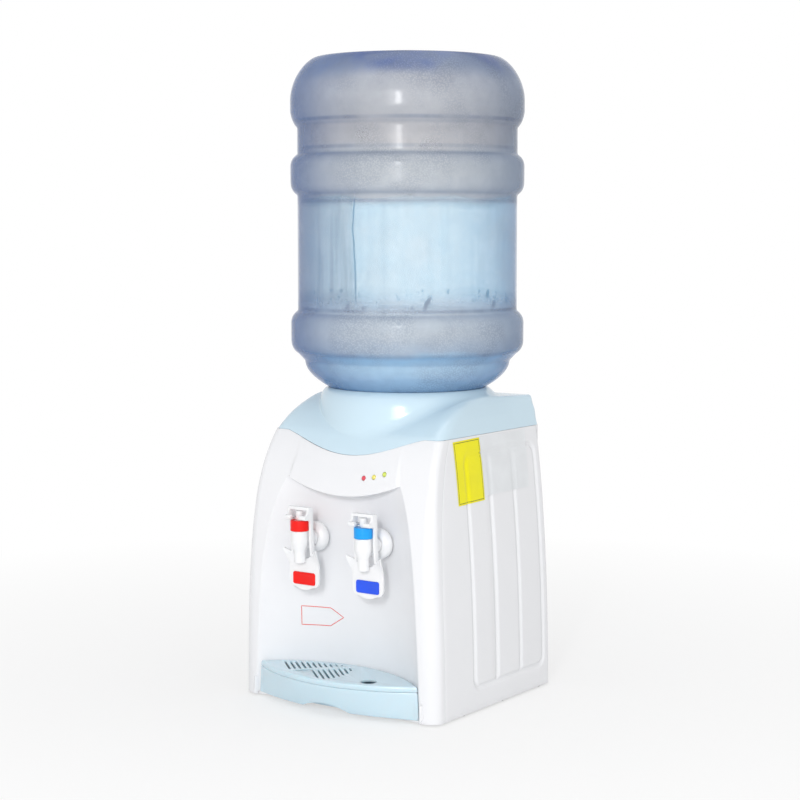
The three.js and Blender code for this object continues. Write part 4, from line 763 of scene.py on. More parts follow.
def bored_front():
    tools = [bore(x, SPIGOT_Z, SPIGOT_BORE, -140, -60) for x in TAP_X.values()]
    for name in LAMPS:
        y, centre = measured(name)[0].y, centre_of(name)
        tools.append(bore(centre.x, centre.z, LAMP_BORE, y - 9, y + 20))
    return combine(settle(front_panel()), tools)


finish(bored_front(), "housing", "white_housing", "front_panel", 32)

# ---- side panels
GROOVES_Y = [-61, -13.5, 36.5, 86.5]
GROOVE_LOW, GROOVE_HIGH, GROOVE_CORNER = 26, 286, 11
GROOVE_DEPTH = 2.4
GROOVE_HALF = 4.6
CREASE_Y = -82
PANEL_START = -74
LEAD_STEPS, TURN_STEPS = 8, 10


def bowl(away, half):
    """Depth share of a smooth hollow, by distance from its middle."""
    return 0.5 + 0.5 * math.cos(math.pi * min(away / half, 1))


def groove_depth(y, z):
    """Depth of the moulded grooves: a rounded frame and two uprights inside it."""
    front, rear = GROOVES_Y[0], GROOVES_Y[-1]
    dy = abs(y - (front + rear) / 2) - ((rear - front) / 2 - GROOVE_CORNER)
    dz = abs(z - (GROOVE_LOW + GROOVE_HIGH) / 2) - ((GROOVE_HIGH - GROOVE_LOW) / 2 - GROOVE_CORNER)
    outside = math.hypot(max(dy, 0), max(dz, 0)) + min(max(dy, dz), 0)
    away = abs(outside - GROOVE_CORNER)
    within = min(z - GROOVE_LOW, GROOVE_HIGH - z)
    for upright in GROOVES_Y[1:-1]:
        away = min(away, math.hypot(y - upright, max(-within, 0)))
    fade = smooth((z - 60) / 60) * smooth((250 - z) / 40)
    return GROOVE_DEPTH * bowl(away, GROOVE_HALF) + 0.35 * bowl(abs(y - CREASE_Y), 2.2) * fade


def stations(low, high, marks, coarse, fine, reach):
    """Places from low to high, close together within reach of each mark."""
    out = [low]
    while out[-1] < high - 1e-6:
        near = min(abs(out[-1] + fine / 2 - m) for m in marks)
        out.append(min(out[-1] + (fine if near < reach else coarse), high))
    if len(out) > 2 and out[-1] - out[-2] < fine / 2:
        out.pop(-2)
    return out


def side_panel(side):
    marks = [GROOVE_LOW, GROOVE_LOW + 9, GROOVE_HIGH, GROOVE_HIGH - 9]
    heights = stations(0, SEAM_HEIGHT - GAP / 2, marks, 7, 1.5, 10)
    marks = GROOVES_Y + [GROOVES_Y[0] + 9, GROOVES_Y[-1] - 9]
    depths = stations(PANEL_START, REAR - REAR_CORNER, marks, 6, 1.2, 7)
    inner = HALF_WIDTH - REAR_RETURN + GAP
    rows = []
    for z in heights:
        x = half_width(z)
        begin = front_y(z) + FRONT_WRAP + GAP
        lead = [begin + (PANEL_START - begin) * i / LEAD_STEPS for i in range(LEAD_STEPS)]
        row = [(x - groove_depth(y, z), y) for y in lead + depths]
        corner_x = x - REAR_CORNER
        for i in range(1, TURN_STEPS + 1):
            a = math.pi / 2 * i / TURN_STEPS
            y = REAR - REAR_CORNER + REAR_CORNER * math.sin(a)
            row.append((corner_x + REAR_CORNER * math.cos(a), y))
        row += [(corner_x + (inner - corner_x) * i / 3, REAR) for i in range(1, 4)]
        rows.append([(side * x, y, z) for x, y in row])
    return shell(("right" if side > 0 else "left") + "_side_shell", Sheet().block(rows), 150)


finish(side_panel(1), "housing", "white_housing", "right_side_panel", 32)
finish(side_panel(-1), "housing", "white_housing", "left_side_panel", 32)

# ---- top cover
HOOD_EDGE, REAR_EDGE, DRUM_ROUND = 12, 3, 9
HOOD_LONGER = 10
REAR_FALL = 5.5
COVER_EYE = 190.0
COLUMNS, SAMPLES, KEPT = 288, 150, 64
BEND_WEIGHT = 14


class Convex:
    """Signed distance to a convex outline of two coordinates, taken as a set of half-planes."""

    def __init__(self, points):
        p = np.array(points, float)
        q = np.roll(p, -1, axis=0)
        keep = np.linalg.norm(q - p, axis=1) > 1e-6
        p, q = p[keep], q[keep]
        along = q - p
        self.normal = np.stack([along[:, 1], -along[:, 0]], 1)
        self.normal /= np.linalg.norm(self.normal, axis=1)[:, None]
        self.normal[((p.mean(0) - p) * self.normal).sum(1) > 0] *= -1
        self.offset = (p * self.normal).sum(1)

    def __call__(self, u, v):
        planes = np.outer(u, self.normal[:, 0]) + np.outer(v, self.normal[:, 1])
        return (planes - self.offset).max(1)


def soft_max(a, b, k):
    h = np.maximum(k - np.abs(a - b), 0) / k
    return np.maximum(a, b) + h * h * k / 4


hood_curve = [
    (FRONT + b + HOOD_LONGER * clipped((z - 308) / (HEIGHT - 308)), z) for b, z in bezier(LEAN, 48)
]
side_form = Convex([(FRONT, 0), *hood_curve, (REAR, HEIGHT - REAR_FALL), (REAR, 0)])
front_form = Convex(
    [(HALF_WIDTH - i, z) for i, z in side_curve[::2]]
    + [(-HALF_WIDTH + i, z) for i, z in side_curve[::-2]]
)
plan_form = Convex(
    [(-HALF_WIDTH, FRONT), (HALF_WIDTH, FRONT), (HALF_WIDTH, REAR), (-HALF_WIDTH, REAR)]
)
drum_form = Convex([(0, 0), (DRUM[0][0], 0), *curved(DRUM, 32), (0, RIM_HEIGHT)])


def cover_field(p):
    """Below 0 inside the cover: the hood under its lean and sides, merged with the drum."""
    x, y, z = p[:, 0], p[:, 1], p[:, 2]
    blend = REAR_EDGE + (HOOD_EDGE - REAR_EDGE) * np.clip(-y / 60, 0, 1)
    hood = soft_max(side_form(y, z), front_form(x, z), blend)
    drum = soft_max(drum_form(np.hypot(x, y), z), plan_form(x, y), 1)
    return -soft_max(-hood, -drum, 1 + DRUM_ROUND * np.clip((x + 20) / 100, 0, 1))


def cover_hits(directions, origin):
    """Distance along each ray from inside to the surface of the cover."""
    low, high = np.full(len(directions), 40.0), np.full(len(directions), 260.0)
    for _ in range(26):
        middle = (low + high) / 2
        inside = cover_field(origin + directions * middle[:, None]) < 0
        low, high = np.where(inside, middle, low), np.where(inside, high, middle)
    return (low + high) / 2


def eased_round(row):
    kernel = np.array([1, 2, 3, 2, 1]) / 9
    return np.convolve(np.concatenate([row[-2:], row, row[:2]]), kernel, "valid")


def top_cover():
    turns = 2 * np.pi * np.arange(COLUMNS) / COLUMNS
    cos, sin, none = np.cos(turns), np.sin(turns), np.zeros(COLUMNS)
    flat = np.stack([cos, sin, none], 1)
    seam = np.full(COLUMNS, SEAM_HEIGHT)
    for _ in range(12):
        origin = np.stack([none, none, seam], 1)
        reach = cover_hits(flat, origin)
        foot = origin + flat * reach[:, None]
        seam = np.array([(seam_at(x) if y < 0 else SEAM_HEIGHT) + GAP / 2 for x, y, _ in foot])
    first = np.arctan2(seam - COVER_EYE, reach)
    last = math.atan2(RIM_HEIGHT - 0.6 - COVER_EYE, RIM_RADIUS + 1.2)
    share = np.linspace(0, 1, SAMPLES)[:, None]
    lift = first[None, :] * (1 - share) + last * share
    rays = np.stack([np.cos(lift) * cos, np.cos(lift) * sin, np.sin(lift)], 2).reshape(-1, 3)
    eye_point = np.array([0, 0, COVER_EYE])
    points = (eye_point + rays * cover_hits(rays, eye_point)[:, None]).reshape(SAMPLES, COLUMNS, 3)

    # the rows that are kept lie closest together where the surface bends
    step = np.linalg.norm(np.diff(points, axis=0), axis=2)
    along = np.diff(points, axis=0) / np.maximum(step, 1e-6)[:, :, None]
    bend = np.zeros_like(step)
    bend[1:] += np.linalg.norm(np.diff(along, axis=0), axis=2)
    weight = np.vstack([none, np.cumsum(step + BEND_WEIGHT * bend, axis=0)])
    weight = np.apply_along_axis(eased_round, 1, weight)
    rows = []
    for i in range(KEPT + 1):
        at = weight[-1] * i / KEPT
        rows.append(
            [
                tuple(np.interp(at[j], weight[:, j], points[:, j, c]) for c in range(3))
                for j in range(COLUMNS)
            ]
        )
    collar = [
        (RIM_RADIUS + 0.2, RIM_HEIGHT), (RIM_RADIUS - 0.6, RIM_HEIGHT - 0.3),
        (COLLAR_BORE + 0.9, RIM_HEIGHT - 2.1), (COLLAR_BORE + 0.2, RIM_HEIGHT - 2.8),
        (COLLAR_BORE, RIM_HEIGHT - 3.8), (COLLAR_BORE, LEDGE_HEIGHT + 0.4),
        (COLLAR_BORE - 0.4, LEDGE_HEIGHT), (LEDGE_RADIUS, LEDGE_HEIGHT),
    ]
    rows += [[(r * math.cos(t), r * math.sin(t), z) for t in turns] for r, z in collar]
    return shell("cover_shell", Sheet().block(rows, closed=True), 200)


finish(top_cover(), "housing", "pale_blue_cover", "top_cover", 32)

# ---- bottle
BOTTLE_RADIUS, BOTTLE_TOP = measured("bottle")[1].x, measured("bottle")[1].z
DOME_TOP = BOTTLE_TOP - 4
NECK_RADIUS, NECK_TIP = 27.5, measured("bottle")[0].z
WAIST = 127
BOTTLE_WALL = 1.6
CONE_SLOPE = 0.6
SHOULDER_RADIUS, SHOULDER_TOP = 119, 385
HOOPS = ((395, 442.5), (577, 622))
DOME_HOOP = 652.5
LINE_STEP = 0.4


def cone_at(radius):
    return RIM_HEIGHT + 2 * GAP - CONE_SLOPE * (RIM_RADIUS - radius)


def bottle_line():
    """Outside of the bottle as (radius, height) points from the neck to the domed end."""
    r, w, hoop, top = BOTTLE_RADIUS, WAIST, DOME_HOOP, DOME_TOP
    line = [(NECK_RADIUS, NECK_TIP), (NECK_RADIUS, cone_at(NECK_RADIUS) - 4)]
    line += [(NECK_RADIUS + 4, cone_at(NECK_RADIUS + 4)), (RIM_RADIUS, cone_at(RIM_RADIUS))]
    line += curved([line[-1], (SHOULDER_RADIUS, 370), (SHOULDER_RADIUS, SHOULDER_TOP)], 12)
    for low, high in HOOPS:
        curve = (high - low) * 0.3
        line += curved([(w, low - 1.6), (r, low + 3), (r, low + curve)], 10)
        line += curved([(r, high - curve), (r, high - 5), (w, high)], 10)
    line += curved([(w, hoop), (r - 2, hoop + 5), (r, hoop + 18)], 10)
    line += curved([(r, hoop + 31), (r, hoop + 47), (r - 10, hoop + 70), (r - 27, top - 8.8)], 18)
    return line + curved([(60, top - 4.6), (32, top - 1.4), (14, top), (0, top)], 8)


def resampled(points, step, spread_mm):
    """The line at even steps, with its corners eased over a distance."""
    p = np.array(points, float)
    length = np.concatenate([[0], np.cumsum(np.linalg.norm(np.diff(p, axis=0), axis=1))])
    at = np.arange(0, length[-1], LINE_STEP)
    line = np.stack([np.interp(at, length, p[:, c]) for c in (0, 1)], 1)
    reach = int(spread_mm / LINE_STEP)
    kernel = np.hanning(2 * reach + 1)
    kernel /= kernel.sum()
    padded = np.vstack(
        [2 * line[0] - line[reach:0:-1], line, 2 * line[-1] - line[-2 : -reach - 2 : -1]]
    )
    eased = np.stack([np.convolve(padded[:, c], kernel, "valid") for c in (0, 1)], 1)
    keep = max(int(step / LINE_STEP), 1)
    out = list(eased[::keep])
    if len(eased) % keep != 1:
        out.append(eased[-1])
    return np.array(out)


def bottle():
    outer = resampled(bottle_line(), 1.6, 3)
    outer[0] = (NECK_RADIUS, NECK_TIP)
    outer[:, 0] = np.clip(outer[:, 0], 0, BOTTLE_RADIUS)
    outer[-1] = (0, DOME_TOP)
    along = np.gradient(outer, axis=0)
    along /= np.linalg.norm(along, axis=1)[:, None]
    inner = outer + np.stack([-along[:, 1], along[:, 0]], 1) * BOTTLE_WALL
    inner[:, 0] = np.maximum(inner[:, 0], 0)
    inner[0, 1] = NECK_TIP
    inner[-1, 0] = 0
    return build("bottle_skin", turned([*outer, *inner[::-1], outer[0]], 144), weld=0.01)


finish(bottle(), "bottle", "clear_bottle", "bottle", 60)

# ---- seat and bottle cap
SEAT_WALL = 2.5
WELL_RADIUS, WELL_FLOOR = 33.5, 247
PROBE_RADIUS, PROBE_BORE = 8, 3
SNAP_WALL, SNAP_HOLE = 1.6, 8.6


def seat():
    rim = COLLAR_BORE - GAP
    lip = rim - SEAT_WALL
    drop = 1.2 * SEAT_WALL + 2 * GAP
    foot, under, wide = WELL_FLOOR - 14, WELL_FLOOR - SEAT_WALL, WELL_RADIUS + SEAT_WALL
    profile = [
        (PROBE_BORE, foot), (PROBE_RADIUS, foot), (PROBE_RADIUS, under), (wide, under),
        (wide, cone_at(wide) - drop), (lip, cone_at(lip) - drop), (lip, LEDGE_HEIGHT + GAP),
        (rim, LEDGE_HEIGHT + GAP), (rim, cone_at(rim) - 2 * GAP),
        (WELL_RADIUS, cone_at(WELL_RADIUS) - 2 * GAP), (WELL_RADIUS, WELL_FLOOR),
        (PROBE_RADIUS, WELL_FLOOR), (PROBE_RADIUS, 284), (PROBE_BORE, 292), (PROBE_BORE, foot),
    ]
    return build("seat_funnel", turned(rounded(profile, 1.2), 96))


def bottle_cap():
    low, high = measured("bottle_cap")
    inner, floor = high.x - SNAP_WALL, low.z + SNAP_WALL
    profile = [
        (SNAP_HOLE, low.z), (high.x, low.z), (high.x, high.z), (inner, high.z),
        (inner, floor), (SNAP_HOLE, floor), (SNAP_HOLE, low.z),
    ]
    return build("snap_cap", turned(rounded(profile, 0.7), 72))


finish(seat(), "housing", "pale_blue_cover", "bottle_seat", 30)
finish(bottle_cap(), "bottle", "blue_plastic", "bottle_cap", 30)

# ---- taps
SPOUT_LOW = measured("hot_tap_body")[0].z
CAP_LOW, CAP_HIGH = (corner.z for corner in measured("hot_tap_cap"))
BARREL, SPOUT = 9.9, 6.3


def tap_body(x, side):
    low, chin, top = SPOUT_LOW, CAP_LOW - GAP, CAP_HIGH - 3
    barrel = [
        (0, low + 12), (4.2, low + 12), (4.2, low), (SPOUT, low), (6.5, low + 13),
        (BARREL, low + 23), (BARREL, chin), (8.8, chin), (8.8, top), (0, top),
    ]
    body = build(side + "_tap_barrel", turned(rounded(barrel, 1.4), 56, x, TAP_Y))
    wall, tail = measured("hot_tap_flange")[0].y - GAP, measured("hot_tap_body")[1].y
    spigot = [
        (0, TAP_Y), (9.2, TAP_Y), (9.2, wall), (7.4, wall),
        (7.4, tail - 8), (3, tail - 8), (3, tail), (0, tail),
    ]
    arm = build("arm", turned_y(rounded(spigot, 0.8), x, SPIGOT_Z, 40))
    return soften(combine(body, [arm], "UNION"), 0.5, 3, 50)


def tap_flange(x, side):
    low, high = measured("hot_tap_flange")
    r, front, deep = (high.x - low.x) / 2, low.y, high.y - low.y
    profile = [
        (SPIGOT_BORE, high.y), (SPIGOT_BORE, front + 0.4), (9.4, front), (r * 0.66, front + 0.1),
        (r * 0.86, front + deep * 0.22), (r * 0.97, front + deep * 0.5),
        (r, front + deep * 0.75), (r, high.y), (SPIGOT_BORE, high.y),
    ]
    return build(side + "_escutcheon", turned_y(rounded(profile, 2.2, 5), x, SPIGOT_Z, 64))


def tap_cap(x, side):
    outer, inner, hole, roof = 10.6, 9.1, 3.5, CAP_HIGH - 2.4
    profile = [
        (inner, CAP_LOW), (outer, CAP_LOW), (outer, CAP_HIGH), (hole, CAP_HIGH),
        (hole, roof), (inner, roof), (inner, CAP_LOW),
    ]
    return build(side + "_cap_ring", turned(rounded(profile, 1.1, 5), 56, x, TAP_Y))


def tap_stem(x, side):
    low, high = measured(side + "_tap_stem")
    rod, button, step = 3.2, 4.3, CAP_HIGH + 1
    profile = [
        (0, low.z), (rod, low.z), (rod, step), (button, step), (button, high.z), (0, high.z),
    ]
    return build(side + "_stem_rod", turned(rounded(profile, 0.9, 4), 32, x, TAP_Y))


PLATE_LOW, PLATE_HIGH, PLATE_HALF, PLATE_CORNER = 136, 150, 15.5, 2.5
PADDLE_LOW, PADDLE_ROUND, PADDLE_SAG = 130, 8, 3
PADDLE_HALF, PADDLE_BACK, PADDLE_THICK = 20.7, 9, 2.6
CURL_FROM = PLATE_HIGH + 2 * PLATE_CORNER
WING_TIP, WING_HALF, WING_CURL = 178, 23, 9
NOTCH_LOW, NOTCH_HALF = 166, 8.2
CHEEK_IN, CHEEK_OUT, CHEEK_DEEP = 11.8, 14.4, 6.4
YOKE_TOP, YOKE_BAR, BAR_FRONT = 226, 3, 3
EAR, LUG = 2.4, 2.6
PIVOT_Y, PIVOT_Z = TAP_Y - 7, CAP_HIGH + 3.6
SPOUT_CLEAR = SPOUT + 1.2 + PADDLE_THICK / 2
ARM_FRONT = 1.6


def flare(z):
    return smooth((z - CURL_FROM) / (WING_TIP - CURL_FROM))


def paddle_y(x, z):
    shift = smooth((z - PLATE_HIGH) / (162.5 - PLATE_HIGH))
    back = TAP_Y + PADDLE_BACK + shift * (SPOUT_CLEAR - PADDLE_BACK)
    return back - WING_CURL * flare(z) * (x / WING_HALF) ** 2


def corner_share(z):
    return max(PADDLE_LOW + PADDLE_SAG + PADDLE_ROUND - z, 0) / PADDLE_ROUND


def paddle_half(z):
    corner = PADDLE_ROUND * (1 - math.sqrt(max(1 - corner_share(z) ** 2, 0)))
    above = max(z - WING_TIP, 0)
    return PADDLE_HALF - corner + (WING_HALF - PADDLE_HALF) * flare(z) - 1.2 * above**2


def paddle_row(x0, z, lean):
    half, sag = paddle_half(z), PADDLE_SAG * corner_share(z)
    return [
        (x0 + u * half, paddle_y(u * half, z) + lean, z - sag * (1 - u * u))
        for u in np.linspace(-1, 1, 21)
    ]


def paddle(x0, name):
    foot = PADDLE_LOW + PADDLE_SAG
    levels = [foot + PADDLE_ROUND * (1 - math.cos(a)) for a in np.linspace(0, math.pi / 2, 9)]
    levels += [*np.linspace(levels[-1] + 2.5, WING_TIP, 20), WING_TIP + 1.2, WING_TIP + 2.2]
    faces = [
        [paddle_row(x0, z, lean) for z in levels] for lean in (-PADDLE_THICK / 2, PADDLE_THICK / 2)
    ]
    return build(name, Sheet().slab(*faces))


def plate_outline(grow):
    half, low, high = PLATE_HALF + grow, PLATE_LOW - grow, PLATE_HIGH + grow
    r = PLATE_CORNER + grow
    x = half - r
    corners = ((x, low + r, -90), (x, high - r, 0), (-x, high - r, 90), (-x, low + r, 180))
    return [
        (cx + r * math.cos(a), cz + r * math.sin(a))
        for cx, cz, start in corners
        for a in (math.radians(start + 15 * i) for i in range(7))
    ]


def moved(outline, x0):
    return [(x0 + x, z) for x, z in outline]


def cheek_line():
    """Side view of an arm: it rises behind the cap, with a small ear forward round the pin."""
    low = NOTCH_LOW + 5
    low_y = paddle_y(CHEEK_OUT, low)
    back = TAP_Y + CHEEK_DEEP
    line = [(low_y - PADDLE_THICK, low), (low_y + PADDLE_THICK, low)]
    line += curved([line[-1], (back + 2, SPIGOT_Z), (back, CAP_LOW)], 8)[1:]
    line += curved([(back, YOKE_TOP - 6), (back, YOKE_TOP), (back - 5, YOKE_TOP)], 6)
    line += curved([(TAP_Y, YOKE_TOP), (TAP_Y - 3, YOKE_TOP - 1), (TAP_Y - 3.5, PIVOT_Z + 5)], 8)
    line += [
        (PIVOT_Y + EAR * math.cos(a), PIVOT_Z + EAR * math.sin(a))
        for a in np.linspace(0.35 * math.pi, 1.5 * math.pi, 13)
    ]
    chin = CAP_HIGH + GAP
    arm = TAP_Y + ARM_FRONT
    return line + curved([(arm - 3, chin), (arm, chin), (arm, chin - 3.6)], 4) + [(arm, SPIGOT_Z)]


def notch_line():
    """Front view of the notch in the paddle's upper edge, where the spout stands."""
    half, low = NOTCH_HALF, NOTCH_LOW
    edge = [(26, 184), (26, WING_TIP + 1.5), (22, WING_TIP - 0.5), (15, 173), (11.4, low + 4)]
    edge += curved([edge[-1], (half + 0.4, low + 2), (half, low + 3)], 5)[1:]
    edge += curved([edge[-1], (half, low), (0, low)], 8)[1:]
    return edge + [(-x, z) for x, z in reversed(edge[:-1])]


def tap_lever(x0, side):
    lever = paddle(x0, side + "_push_lever")
    combine(lever, [build("notch", extruded(moved(notch_line(), x0), -190, -100, 1))])
    parts = []
    for s in (-1, 1):
        xs = sorted((x0 + s * CHEEK_IN, x0 + s * CHEEK_OUT))
        parts.append(build("cheek", extruded(cheek_line(), *xs, 0)))
        near, far = x0 + s * 6, x0 + s * 14.2
        lug = [(0, near), (LUG, near), (LUG, far), (0, far)]
        parts.append(build("lug", lathe(lug, 24, lambda x, u, v: (x, PIVOT_Y + u, PIVOT_Z + v))))
    half, front, back = CHEEK_OUT - 0.6, TAP_Y - BAR_FRONT, TAP_Y + CHEEK_DEEP * 0.6
    bar = moved([(-half, front), (half, front), (half, back), (-half, back)], x0)
    parts.append(build("bar", extruded(bar, YOKE_TOP - YOKE_BAR, YOKE_TOP, 2)))
    combine(lever, parts, "UNION")
    seat_y = TAP_Y + PADDLE_BACK - PADDLE_THICK / 2
    recess = extruded(moved(plate_outline(GAP), x0), seat_y - 5, seat_y + 0.8, 1)
    return soften(combine(lever, [build("recess", recess)]), 0.55, 2, 50)


def lever_plate(x0, side):
    low, high = measured(side + "_lever_plate")
    y = low.y
    middle = (PLATE_LOW + PLATE_HIGH) / 2
    edges = ((0, high.y), (0, y + 0.6), (-0.25, y + 0.2), (-0.8, y))
    rings = [[(x, at, z) for x, z in moved(plate_outline(grow), x0)] for grow, at in edges]
    for width, height, sink in ((0.9, 0.84, 0), (0.87, 0.78, 0.25)):
        face = [(x * width, middle + (z - middle) * height) for x, z in plate_outline(-0.8)]
        rings.append([(x, y + sink, z) for x, z in moved(face, x0)])
    return build(side + "_push_plate", solid(rings))


for side, x in TAP_X.items():
    ring, plate = {
        "hot": ("red_plastic", "red_plastic"), "cold": ("azure_plastic", "blue_plastic")
    }[side]
    finish(tap_body(x, side), "housing", "white_tap", side + "_tap_body")
    finish(tap_flange(x, side), "housing", "white_tap", side + "_tap_flange", 50)
    finish(tap_cap(x, side), "housing", ring, side + "_tap_cap")
    finish(tap_stem(x, side), side + "_valve", "white_tap", side + "_tap_stem")
    finish(tap_lever(x, side), side + "_lever", "white_tap", side + "_tap_lever")
    finish(lever_plate(x, side), side + "_lever", plate, side + "_lever_plate")

# ---- lamps
for name, slot in LAMPS.items():
    y, centre = measured(name)[0].y, centre_of(name)
    r = LAMP_RADIUS
    profile = [(0, y), (r / 2, y + 0.15), (r - 0.4, y + 0.6), (r, y + 1.3), (r, y + 9), (0, y + 9)]
    dome = build(name + "_lens", turned_y(rounded(profile, 0.5, 3), centre.x, centre.z, 32))
    finish(dome, "housing", slot, name, look="red_lens" if name == "hot_lamp" else slot)

# ---- drip tray and grille
TRAY_LOW = measured("drip_tray")[0].z
TRAY_FRONT, TRAY_HIGH = measured("drip_grille")[0].y, measured("drip_grille")[1].z
GRILLE_LOW = TRAY_HIGH - 6.6
BULGE_TOP, BULGE_LOW = FRONT - TRAY_FRONT, 20
TRAY_PLAY, TRAY_WALL, TRAY_END = 0.6, 2.2, 2.5
SLOT_WIDTH, SLOT_PITCH, SLOT_MARGIN, SLOT_RIB = 2.6, 6.05, 8, 4.5
SLOT_ANGLE = math.radians(43)
SLOT_FIELD, SLOT_RADIUS = (-39, -144), 52
OVAL_DRAIN, OVAL_HALVES = (-39.05, -148.95), (10.8, 4.05)
FINGER_HALF, FINGER_RISE = 33, 8
LIFT_HOLE = (53, TRAY_FRONT + 26, 9.3)


def tray_outline(z, inset):
    """Plan of the tray at a height: the back follows the bay, the front bows out."""
    radius = BAY_RADIUS - TRAY_PLAY - inset
    centre = bay_centre(z)
    end = FRONT + TRAY_END
    half = math.sqrt(radius**2 - (end - centre) ** 2)
    edge = math.atan2(end - centre, half)
    rise = (z - TRAY_LOW) / (TRAY_HIGH - TRAY_LOW)
    corner = 5 - 2.5 * rise
    back = [
        (radius * math.cos(a), centre + radius * math.sin(a))
        for a in np.linspace(edge, math.pi - edge, 49)
    ]
    depth = BULGE_LOW + (BULGE_TOP - BULGE_LOW) * rise - inset + TRAY_END
    arc = (half**2 + depth**2) / (2 * depth)
    middle = end - depth + arc
    sweep = math.asin((half - corner * 0.8) / arc)
    front = [
        (arc * math.sin(a), middle - arc * math.cos(a)) for a in np.linspace(-sweep, sweep, 61)
    ]
    turn_y = end - corner * 0.2
    left = curved([back[-1], (-half - 0.2, turn_y), front[0]], 6)[1:-1]
    return back + left + front + curved([front[-1], (half + 0.2, turn_y), back[0]], 6)[1:-1]


def ringed(name, levels):
    """Closed solid through plan outlines given as (height, inset)."""
    rings = [[(x, y, z) for x, y in tray_outline(z, inset)] for z, inset in levels]
    return build(name, solid(rings))


def arch(name, grow):
    """Form of the finger room under the tray's front."""
    half, peak = FINGER_HALF + grow, TRAY_LOW + FINGER_RISE + grow
    side = [(half, TRAY_LOW), *curved([(half, TRAY_LOW), (half * 0.5, peak), (0, peak)], 12)[1:]]
    line = [(half, -8), *side, *[(-x, z) for x, z in reversed(side[:-1])], (-half, -8)]
    return build(name, extruded(line, -260, FRONT - 2 * WALL + grow, 1))


def drip_tray():
    top, floor = GRILLE_LOW - GAP, TRAY_LOW + TRAY_WALL
    levels = [(TRAY_LOW, 1), (TRAY_LOW + 0.3, 0.4), (TRAY_LOW + 1, 0)]
    levels += [(z, 0) for z in np.linspace(8, top - 1.2, 6)] + [(top - 0.6, 0.25), (top, 0.9)]
    tray = ringed("tray_tub", levels)
    levels = [(floor, TRAY_WALL + 1.5), (floor + 1.5, TRAY_WALL), (top + 2, TRAY_WALL)]
    hollow = combine(ringed("hollow", levels), [arch("raised", TRAY_WALL)])
    return soften(combine(tray, [hollow, arch("fingers", 0)]), 0.35, 2, 50)


def slot_spans(shift):
    """Ends of the one or two slots of a row, as pairs of points in plan."""
    sin, cos = math.sin(SLOT_ANGLE), math.cos(SLOT_ANGLE)
    start_x, start_y = SLOT_FIELD[0] + shift * sin, SLOT_FIELD[1] + shift * cos
    half = math.sqrt(BAY_RADIUS**2 - (bay_centre(TRAY_HIGH) - FRONT) ** 2)

    def at(s):
        return start_x + s * cos, start_y - s * sin

    def inside(s):
        x, y = at(s)
        back = bay_wall_y(x, TRAY_HIGH) - TRAY_PLAY - y
        front = y - FRONT + BULGE_TOP * (1 - (x / half) ** 2)
        round_field = SLOT_RADIUS - math.hypot(x - SLOT_FIELD[0], y - SLOT_FIELD[1])
        return min(back - SLOT_MARGIN, front - SLOT_MARGIN, round_field) > 0

    low = high = 0
    while low > -2 * SLOT_RADIUS and inside(low - 1):
        low -= 1
    while high < 2 * SLOT_RADIUS and inside(high + 1):
        high += 1
    if -SLOT_RIB - low > SLOT_WIDTH:
        yield at(low), at(-SLOT_RIB)
    if shift > 0 and high - SLOT_RIB > SLOT_WIDTH:
        yield at(SLOT_RIB), at(high)


def slot_outline(a, b):
    angle = math.atan2(b[1] - a[1], b[0] - a[0])
    r = SLOT_WIDTH / 2
    out = []
    for (cx, cy), sign, start in ((b, -1, -90), (a, 1, 90)):
        cx += sign * r * math.cos(angle)
        cy += sign * r * math.sin(angle)
        for i in range(9):
            t = angle + math.radians(start + 22.5 * i)
            out.append((cx + r * math.cos(t), cy + r * math.sin(t)))
    return out


def oval_outline():
    turn = math.pi / 2 - SLOT_ANGLE
    out = []
    for a in np.linspace(0, 2 * math.pi, 33)[:-1]:
        u, v = OVAL_HALVES[0] * math.cos(a), OVAL_HALVES[1] * math.sin(a)
        x, y = u * math.cos(turn) - v * math.sin(turn), u * math.sin(turn) + v * math.cos(turn)
        out.append((OVAL_DRAIN[0] + x, OVAL_DRAIN[1] + y))
    return out


def grille():
    low, top = GRILLE_LOW, TRAY_HIGH
    levels = [(low, 0.8), (low + 0.5, 0.2), (low + 1, 0), (top - 3, 0)]
    levels += [(top - 1.6, 0.35), (top - 0.6, 1.1), (top - 0.1, 2.3), (top, 3.6)]
    plate = ringed("grille_plate", levels)
    slots = Sheet()
    count = int(SLOT_RADIUS // SLOT_PITCH)
    for i in range(-count, count + 1):
        for span in slot_spans(i * SLOT_PITCH):
            solid([[(x, y, z) for x, y in slot_outline(*span)] for z in (low, top + 1)], slots)
    x, y, r = LIFT_HOLE
    finger = [(0, low), (r, low), (r, top + 1), (0, top + 1)]
    tools = [
        ringed("hollow", [(low - 1, TRAY_WALL), (top - TRAY_WALL, TRAY_WALL)]),
        build("slots", slots),
        build("drain", extruded(oval_outline(), low, top + 1, 2)),
        build("finger", turned(finger, 48, x, y)),
    ]
    return soften(combine(plate, tools), 0.9, 3, 50)


finish(drip_tray(), "tray", "pale_blue_cover", "drip_tray", 36, "pale_blue_tray")
finish(grille(), "grille", "pale_blue_cover", "drip_grille", 36, "pale_blue_tray")


# ---- bare stickers
def sticker(name, corners, lift, look, steps=24):
    """A thin film on the right side, between four corners (y, z) in order round it."""
    a, b, c, d = (np.array(corner) for corner in corners)
    over, under = [], []
    for v in np.arange(steps + 1) / steps:
        row = []
        for u in np.arange(steps + 1) / steps:
            y, z = (a * (1 - u) + b * u) * (1 - v) + (d * (1 - u) + c * u) * v
            row.append((half_width(z) - 0.6 * groove_depth(y, z) + lift, y, z))
        over.append(row)
        under.append([(x - 0.12, y, z) for x, y, z in row])
    finish(build(name, Sheet().slab(over, under)), "housing", "white_housing", look=look)


